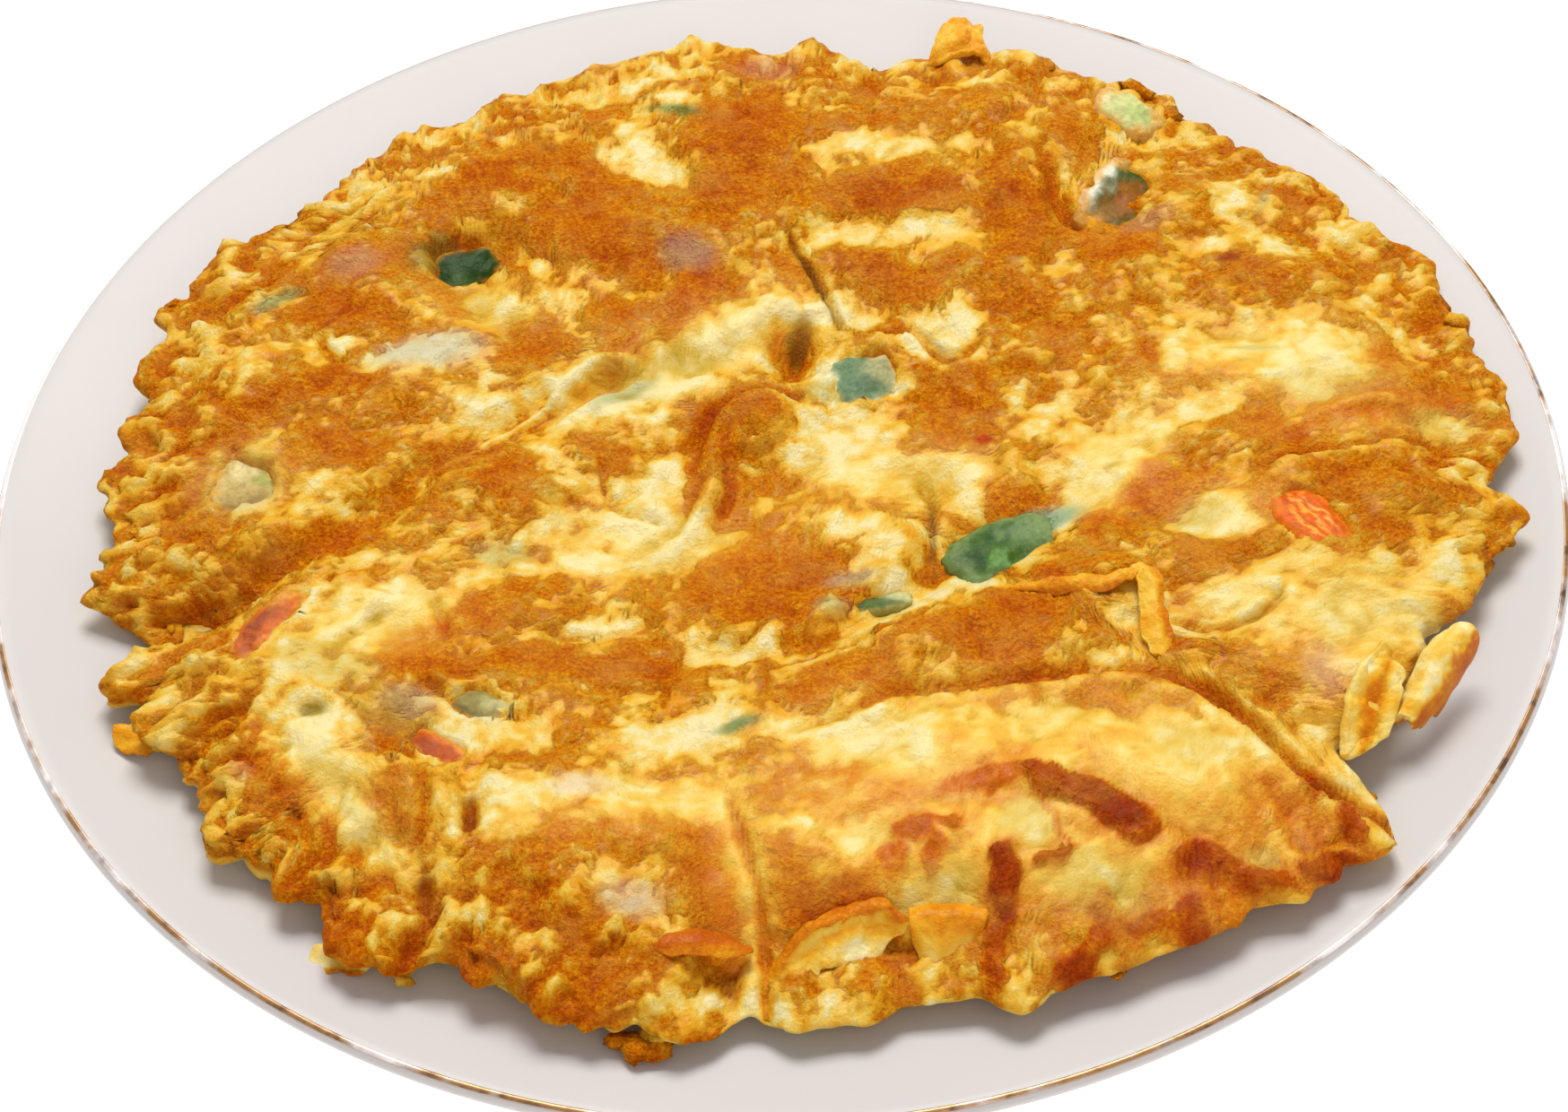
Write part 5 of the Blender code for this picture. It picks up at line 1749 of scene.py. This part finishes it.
@dataclass
class CrispEdge:
    """The crumbly fringe where thin batter ran out and crisped: small lumps half buried along the edge.

    A loose crumb is where it lies and its size, in mm.
    """

    form: OmeletteForm = field(default_factory=OmeletteForm)
    lumps: int = 60
    smallest: float = 1.0
    largest: float = 2.4
    outset: float = 0.8
    bare_bearings: tuple[tuple[float, float], ...] = ((262, 300), (308, 345))
    lumps_left_there: float = 0.25
    loose_crumbs: tuple[tuple[float, float, float], ...] = (
        *((-25, -118.5, 3.0), (-22, -119, 2.0), (-28, -117, 2.2)),
        *((119.5, 33, 2.0), (-84, 75, 3.0), (50, -103.5, 2.4)),
    )
    loose_height: float = 1.4
    loose_browning: float = 0.28
    spots: Grain = Grain(72, 7.0, 3)
    seed: int = 71

    def places(self, chance: np.random.Generator) -> list[tuple[float, float, float, float]]:
        """Chooses where the lumps are.

        Args:
            chance: the seeded draws.

        Returns:
            Each lump's bearing in radians, distance from the axis, size, and height over the plate.
        """
        height = self.loose_height
        places = [(math.atan2(y, x), math.hypot(x, y), size, height) for x, y, size in self.loose_crumbs]
        while len(places) < self.lumps:
            degrees = chance.uniform(0, 360)
            bare = any(low < degrees < high for low, high in self.bare_bearings)
            size = self.smallest + (self.largest - self.smallest) * chance.power(0.7)
            inset, up = chance.uniform(0.4, 4.5), chance.uniform(0, 1)
            if bare and chance.random() > self.lumps_left_there:
                continue
            bearing = math.radians(degrees)
            radius = float(self.form.edge(np.array([bearing]))[0]) + self.outset - inset
            places.append((bearing, radius, size, 1.6 + up * (1.5 + 1.7 * inset)))
        return places

    def pattern(self) -> tuple[Points, list[tuple[int, ...]]]:
        """Makes the ball that every lump is shaped from.

        Returns:
            Its points, 1 from the middle, and its faces.
        """
        deselect_all()
        bpy.ops.mesh.primitive_ico_sphere_add(subdivisions=2, radius=1 * MM)
        ball = bpy.context.object
        points = read_points(ball)
        faces = [tuple(face.vertices) for face in ball.data.polygons]
        bpy.data.objects.remove(ball)
        return points / np.linalg.norm(points, axis=1)[:, None], faces

    def build(self, egg: Finish) -> Piece:
        """Builds and dresses the fringe as one piece.

        Args:
            egg: the fried egg material.

        Returns:
            The finished piece.
        """
        chance = np.random.default_rng(self.seed)
        ball, ball_faces = self.pattern()
        lumps, faces = [], []
        up = np.array((0, 0, 1))
        for bearing, radius, size, height in self.places(chance):
            outward = np.array((math.cos(bearing), math.sin(bearing), 0))
            along = np.array((-math.sin(bearing), math.cos(bearing), 0))
            middle = outward * radius + up * (float(self.form.underside(np.array(radius))) + height)
            widths = (chance.uniform(0.6, 1.1), chance.uniform(0.9, 1.8), chance.uniform(0.35, 0.7))
            rough = Grain(int(chance.integers(1000)), 1.5, 2).at(ball * 2.2)
            shape = ball * (1 + 0.55 * rough)[:, None] * (np.array(widths) * size)
            start = len(lumps) * len(ball)
            lumps.append(middle + shape @ np.stack([outward, along, up]))
            faces += [tuple(start + point for point in face) for face in ball_faces]
        points = np.vstack(lumps)
        mesh = bpy.data.meshes.new("crisp_edge")
        mesh.from_pydata((points * MM).tolist(), [], faces)
        fringe = new_piece("crisp_edge", mesh)
        bpy.ops.object.shade_smooth()
        level = 0.52 + 0.34 * self.spots.at(points)
        level[: len(self.loose_crumbs) * len(ball)] += self.loose_browning
        write_level(fringe, "browning", np.clip(level, 0.05, 1.3))
        write_level(fringe, "dryness", np.ones(len(points)))
        write_colour(fringe, "stain_and_shade", np.zeros((len(points), 4)))
        fringe.data.materials.append(egg)
        return hand_over(fringe)


@dataclass(frozen=True)
class Vegetable:
    """A cut piece of vegetable or ham sunk in its pocket, in mm and degrees, with its tone and its patches.

    A patch is placed in shares of the piece's half length and half width.
    """

    name: str
    slot: Slot
    x: float
    y: float
    length: float
    width: float
    thickness: float
    turn: float
    tilt: float
    sunk: float
    tone: str
    patches: tuple[TintOval, ...] = ()
    pointed: float = 0.0
    squareness: float = 3.4
    roughness: float = 0.10
    waviness: float = 0.35
    dip: float = 1.6
    rim: float = 0.5
    fried_rim: str = "#DB9A34"
    rim_cover: float = 0.75
    cuts: int = 23
    seed: int = 1

    def pocket(self) -> Pocket:
        """The pocket in the egg that this piece is set in, a little smaller than the piece."""
        oval = Oval(self.x, self.y, 0.46 * self.length, 0.46 * self.width, self.turn)
        return Pocket(oval, self.dip, self.rim)

    def frame(self) -> Points:
        """The piece's own directions.

        Returns:
            Where its length, width and thickness point, one row each.
        """
        turn, tilt = math.radians(self.turn), math.radians(self.tilt)
        along = np.array((math.cos(turn), math.sin(turn), 0))
        across = np.array((-math.sin(turn), math.cos(turn), 0))
        up = np.array((0, 0, 1))
        lean_across = math.cos(tilt) * across + math.sin(tilt) * up
        lean_up = math.cos(tilt) * up - math.sin(tilt) * across
        return np.stack([along, lean_across, lean_up])

    def middle(self, form: OmeletteForm) -> Points:
        """Finds where the piece's middle is, sunk in the egg.

        Args:
            form: the omelette it is set in.

        Returns:
            The middle, in mm.
        """
        turn = math.radians(self.turn)
        rounds = np.linspace(0, 2 * math.pi, 16, endpoint=False)
        along, across = np.cos(rounds) * self.length / 2, np.sin(rounds) * self.width / 2
        rim_x = self.x + along * math.cos(turn) - across * math.sin(turn)
        rim_y = self.y + along * math.sin(turn) + across * math.cos(turn)
        level = float(form.top(rim_x, rim_y).mean())
        return np.array((self.x, self.y, level - self.sunk - self.thickness / 2))

    def build(self, form: OmeletteForm, finish: Finish) -> Piece:
        """Builds and dresses the piece.

        Args:
            form: the omelette it is set in.
            finish: the cooked vegetable material.

        Returns:
            The finished piece.
        """
        deselect_all()
        bpy.ops.mesh.primitive_cube_add(size=2 * MM)
        piece = bpy.context.object
        piece.name = piece.data.name = self.name
        bpy.ops.object.mode_set(mode="EDIT")
        bpy.ops.mesh.select_all(action="SELECT")
        bpy.ops.mesh.subdivide(number_cuts=self.cuts)
        bpy.ops.object.mode_set(mode="OBJECT")
        cube = read_points(piece)
        ball = cube / np.linalg.norm(cube, axis=1)[:, None]
        unit = ball / (np.sum(np.abs(ball) ** self.squareness, axis=1) ** (1 / self.squareness))[:, None]
        unit[:, 1] *= 1 - self.pointed * smooth_step(-0.6, 1.0, unit[:, 0])
        shape = unit * np.array((self.length, self.width, self.thickness)) / 2
        shape = shape * (1 + self.roughness * Grain(self.seed, 5.0, 3, 0.6).at(shape))[:, None]
        shape[:, 2] += self.waviness * Grain(self.seed + 1, 3.5).at(shape)
        write_points(piece, self.middle(form) + shape @ self.frame())
        self.dress(piece, unit, shape)
        bpy.ops.object.shade_smooth()
        piece.data.materials.append(finish)
        return hand_over(piece, (self.name,))

    def dress(self, piece: Piece, unit: Points, shape: Points) -> None:
        """Writes the tone, the patches and the fried rim.

        Args:
            piece: the finished mesh.
            unit: its points in shares of its half length, half width and half thickness.
            shape: its points in mm, before it is set in place.
        """
        tones = np.tile((*linear(self.tone)[:3], 1.0), (len(unit), 1))
        wander = 0.25 * Grain(self.seed + 2, 3.0, 2).at(shape)
        for patch in self.patches:
            patch.cover(tones, unit[:, 0] + wander, unit[:, 1] - wander)
        rim = self.rim_cover * smooth_step(0.60, 0.98, np.hypot(unit[:, 0], unit[:, 1]) + 0.8 * wander)
        tones[:, :3] += rim[:, None] * (np.array(linear(self.fried_rim)[:3]) - tones[:, :3])
        write_colour(piece, "tone", tones)


VEGETABLES = (
    Vegetable(
        *("pepper_upper_right", Slot.PEPPER, 65, 61, 20, 14, 6, 58, 16, -0.2, "#33521F"),
        patches=(
            TintOval("#E3E6CC", 0.1, 0.85, 1.0, 0.42, 0, 1.0),
            TintOval("#9A5A14", -0.15, -0.1, 0.55, 0.45, 10, 0.9),
            TintOval("#8E6932", -0.75, 0.2, 0.4, 0.4, 0, 0.8),
        ),
        seed=81,
    ),
    Vegetable(
        *("pepper_hub", Slot.PEPPER, 15, 17.5, 15, 13, 6, 10, 8, -0.2, "#64805A"),
        patches=(
            TintOval("#F1E7B4", -1.0, 0.1, 0.4, 0.9, 0, 1.0),
            TintOval("#A8A56F", 0.6, 0.1, 0.5, 0.4, 0, 0.8),
            TintOval("#4F6B4A", 0.1, -0.2, 0.3, 0.3, 0, 0.8),
        ),
        fried_rim="#DDC985", rim_cover=0.85, seed=82,
    ),
    Vegetable(
        *("pepper_upper_left", Slot.PEPPER, -55, 50.5, 16, 11, 5, 25, 14, 0.3, "#22400F"),
        patches=(
            TintOval("#3F5C28", -0.4, -0.5, 0.5, 0.4, 0, 0.7),
            TintOval("#583602", 0.3, 0.9, 0.9, 0.4, 0, 0.7),
        ),
        pointed=0.4, seed=83,
    ),
    Vegetable(
        *("pepper_far_right", Slot.PEPPER, 69, 84, 9, 14, 5, 51, 10, 0.2, "#C9CC84"),
        patches=(
            TintOval("#A9BC6A", 0.0, -0.4, 0.5, 0.4, 0, 0.7),
            TintOval("#F1D9A0", 0.0, 0.9, 0.8, 0.3, 0, 0.6),
        ),
        seed=84,
    ),
    Vegetable(
        *("leaf_middle", Slot.LEAF, 37.5, -23.5, 21, 13, 5, 30, 4, -0.4, "#3C5E10"),
        patches=(
            TintOval("#6FA04C", -0.3, -0.2, 0.25, 0.2, 20, 0.8),
            TintOval("#1C4A1E", 0.0, 0.4, 0.35, 0.3, 0, 0.8),
            TintOval("#173D14", -0.6, 0.1, 0.25, 0.4, 0, 0.8),
            TintOval("#7C9460", 0.6, 0.2, 0.5, 0.7, 0, 0.75),
        ),
        fried_rim="#9DB072", rim_cover=0.35, seed=85,
    ),
    Vegetable(
        *("green_strip_middle", Slot.LEAF, 14.5, -35, 14, 4.4, 4, 6, 0, 0.0, "#56682A"),
        patches=(
            TintOval("#C9CC92", 0.8, 0.3, 0.45, 0.6, 0, 0.9),
            TintOval("#2C4A10", -0.4, -0.1, 0.35, 0.6, 0, 0.8),
            TintOval("#A8A058", 0.1, 0.6, 0.8, 0.3, 0, 0.7),
        ),
        dip=0.8, fried_rim="#CDBB70", rim_cover=0.4, seed=86,
    ),
    Vegetable(
        *("carrot_right", Slot.CARROT, 88, -26, 19, 10, 5, 118, 4, -0.4, "#D85C04"),
        patches=(
            TintOval("#F4A83A", -0.2, 0.3, 0.7, 0.09, 12, 1.0),
            TintOval("#F4A83A", 0.2, 0.0, 0.7, 0.08, 12, 1.0),
            TintOval("#F4B050", 0.0, -0.4, 0.6, 0.08, 12, 1.0),
            TintOval("#C24A00", -0.6, -0.6, 0.4, 0.3, 0, 0.7),
            TintOval("#C24A00", 0.7, 0.5, 0.3, 0.4, 0, 0.6),
        ),
        dip=1.0, fried_rim="#E08A20", rim_cover=0.5, seed=87,
    ),
    Vegetable(
        *("carrot_front_left", Slot.CARROT, -56, -64.5, 13, 6, 5, -40, 0, 0.2, "#B85208"),
        patches=(
            TintOval("#E08838", 0.2, 0.6, 0.6, 0.25, 0, 0.8),
            TintOval("#963A02", -0.4, -0.3, 0.5, 0.5, 0, 0.7),
        ),
        dip=0.9, seed=88,
    ),
    Vegetable(
        *("ham_left", Slot.HAM, -85, -36, 19, 7, 5, 55, 4, 0.1, "#C4601A"),
        patches=(
            TintOval("#8E3602", 0.1, 0.35, 0.8, 0.35, 0, 0.8),
            TintOval("#D9802E", -0.2, -0.6, 0.6, 0.25, 10, 0.8),
            TintOval("#E39A44", 0.7, 0.4, 0.3, 0.4, 0, 0.7),
            TintOval("#A04408", -0.6, -0.1, 0.3, 0.3, 0, 0.7),
        ),
        dip=0.9, seed=89,
    ),
    Vegetable(
        *("mushroom_front_left", Slot.MUSHROOM, -49, -55, 12, 7, 4, -25, 0, 0.5, "#8C8040"),
        patches=(
            TintOval("#BDB67C", 0.4, 0.3, 0.6, 0.5, 0, 0.8),
            TintOval("#54420E", -0.7, -0.6, 0.6, 0.4, 0, 0.8),
        ),
        seed=90,
    ),
    Vegetable(
        *("onion_left", Slot.ONION, -91, -1.5, 17, 13, 5, 78, 4, 1.0, "#BFA660"),
        patches=(
            TintOval("#D9C88E", 0.5, 0.2, 0.4, 0.5, 0, 0.8),
            TintOval("#8E7234", -0.7, -0.2, 0.5, 0.7, 0, 0.8),
            TintOval("#98A04A", 0.2, -0.5, 0.35, 0.3, 0, 0.8),
        ),
        dip=2.4, seed=91,
    ),
)


# ---------------------------------------------------------------------------------------------------
# The studio


@dataclass
class Studio:
    """A plain pale floor, a large soft light from behind, a soft fill in front, and the camera, in mm."""

    floor_colour: str = "#F6F5F5"
    floor_size: float = 6000.0
    floor_drop: float = 0.2
    floor_glow: float = 0.55
    sky_colour: str = "#FBFAFF"
    sky_strength: float = 0.38
    lens: float = 80.0
    camera_at: tuple[float, float, float] = (0.52, -421.17, 448.31)
    looks_at: tuple[float, float, float] = (0.52, -20.44, 20.0)
    roll: float = -2.898

    def light(self, name: str, at: Vector, size: float, power: float, colour: str) -> None:
        """Hangs one soft square light, aimed at the plate.

        Args:
            name: the light's name.
            at: where it hangs, in mm.
            size: its side, in mm.
            power: its power in watts.
            colour: its sRGB hex colour.
        """
        deselect_all()
        bpy.ops.object.light_add(type="AREA", location=at * MM)
        lamp = bpy.context.object
        lamp.name = name
        lamp.data.size = size * MM
        lamp.data.energy = power
        lamp.data.color = linear(colour)[:3]
        lamp.rotation_euler = (-at).to_track_quat("-Z", "Y").to_euler()

    def lay_floor(self) -> None:
        """Lays the floor, which glows a little so that it stays white."""
        deselect_all()
        bpy.ops.mesh.primitive_plane_add(size=self.floor_size * MM, location=(0, 0, -self.floor_drop * MM))
        floor = bpy.context.object
        floor.name = "floor"
        material, tree, shader = new_material("pale floor")
        colour = linear(self.floor_colour)
        looks = {"Base Color": colour, "Roughness": 0.9, "Emission Color": colour}
        set_inputs(tree, shader, {**looks, "Emission Strength": self.floor_glow})
        floor.data.materials.append(material)

    def open_sky(self) -> None:
        """Lights everything evenly from all round."""
        sky = bpy.data.worlds.new("soft sky")
        bpy.context.scene.world = sky
        sky.use_nodes = True
        looks = {"Color": linear(self.sky_colour), "Strength": self.sky_strength}
        set_inputs(sky.node_tree, sky.node_tree.nodes["Background"], looks)

    def set_camera(self) -> None:
        """Stands the camera in front, above the plate, with a slight roll."""
        deselect_all()
        bpy.ops.object.camera_add(location=Vector(self.camera_at) * MM)
        camera = bpy.context.object
        forward = (Vector(self.looks_at) - Vector(self.camera_at)).normalized()
        roll = Matrix.Rotation(math.radians(self.roll), 3, "Z").to_quaternion()
        camera.rotation_euler = (forward.to_track_quat("-Z", "Y") @ roll).to_euler()
        camera.data.lens = self.lens
        camera.data.sensor_width = 36.0
        camera.data.clip_start = 0.01
        bpy.context.scene.camera = camera
        bpy.context.scene.view_settings.view_transform = "Standard"

    def build(self) -> None:
        """Builds the floor, the lights, the sky and the camera."""
        self.lay_floor()
        self.light("window", Vector((0, 1000, 1800)), 1000, 41.0, "#FFFDF8")
        self.light("front_fill", Vector((150, -900, 700)), 900, 3.4, "#FFEEDC")
        self.open_sky()
        self.set_camera()


def main() -> None:
    """Builds every piece in order."""
    logging.basicConfig(level=logging.INFO, format="%(message)s")
    Studio().build()
    plate = Plate()
    plate.build()
    plate.gild()
    egg = FriedEgg().make()
    omelette = Omelette(pockets=tuple(vegetable.pocket() for vegetable in VEGETABLES))
    omelette.build(egg)
    for sheet in SHEETS:
        sheet.build(egg)
    CrispEdge().build(egg)
    cooked = CookedVegetable().make()
    for vegetable in VEGETABLES:
        vegetable.build(omelette.form, cooked)


if __name__ == "__main__":
    main()
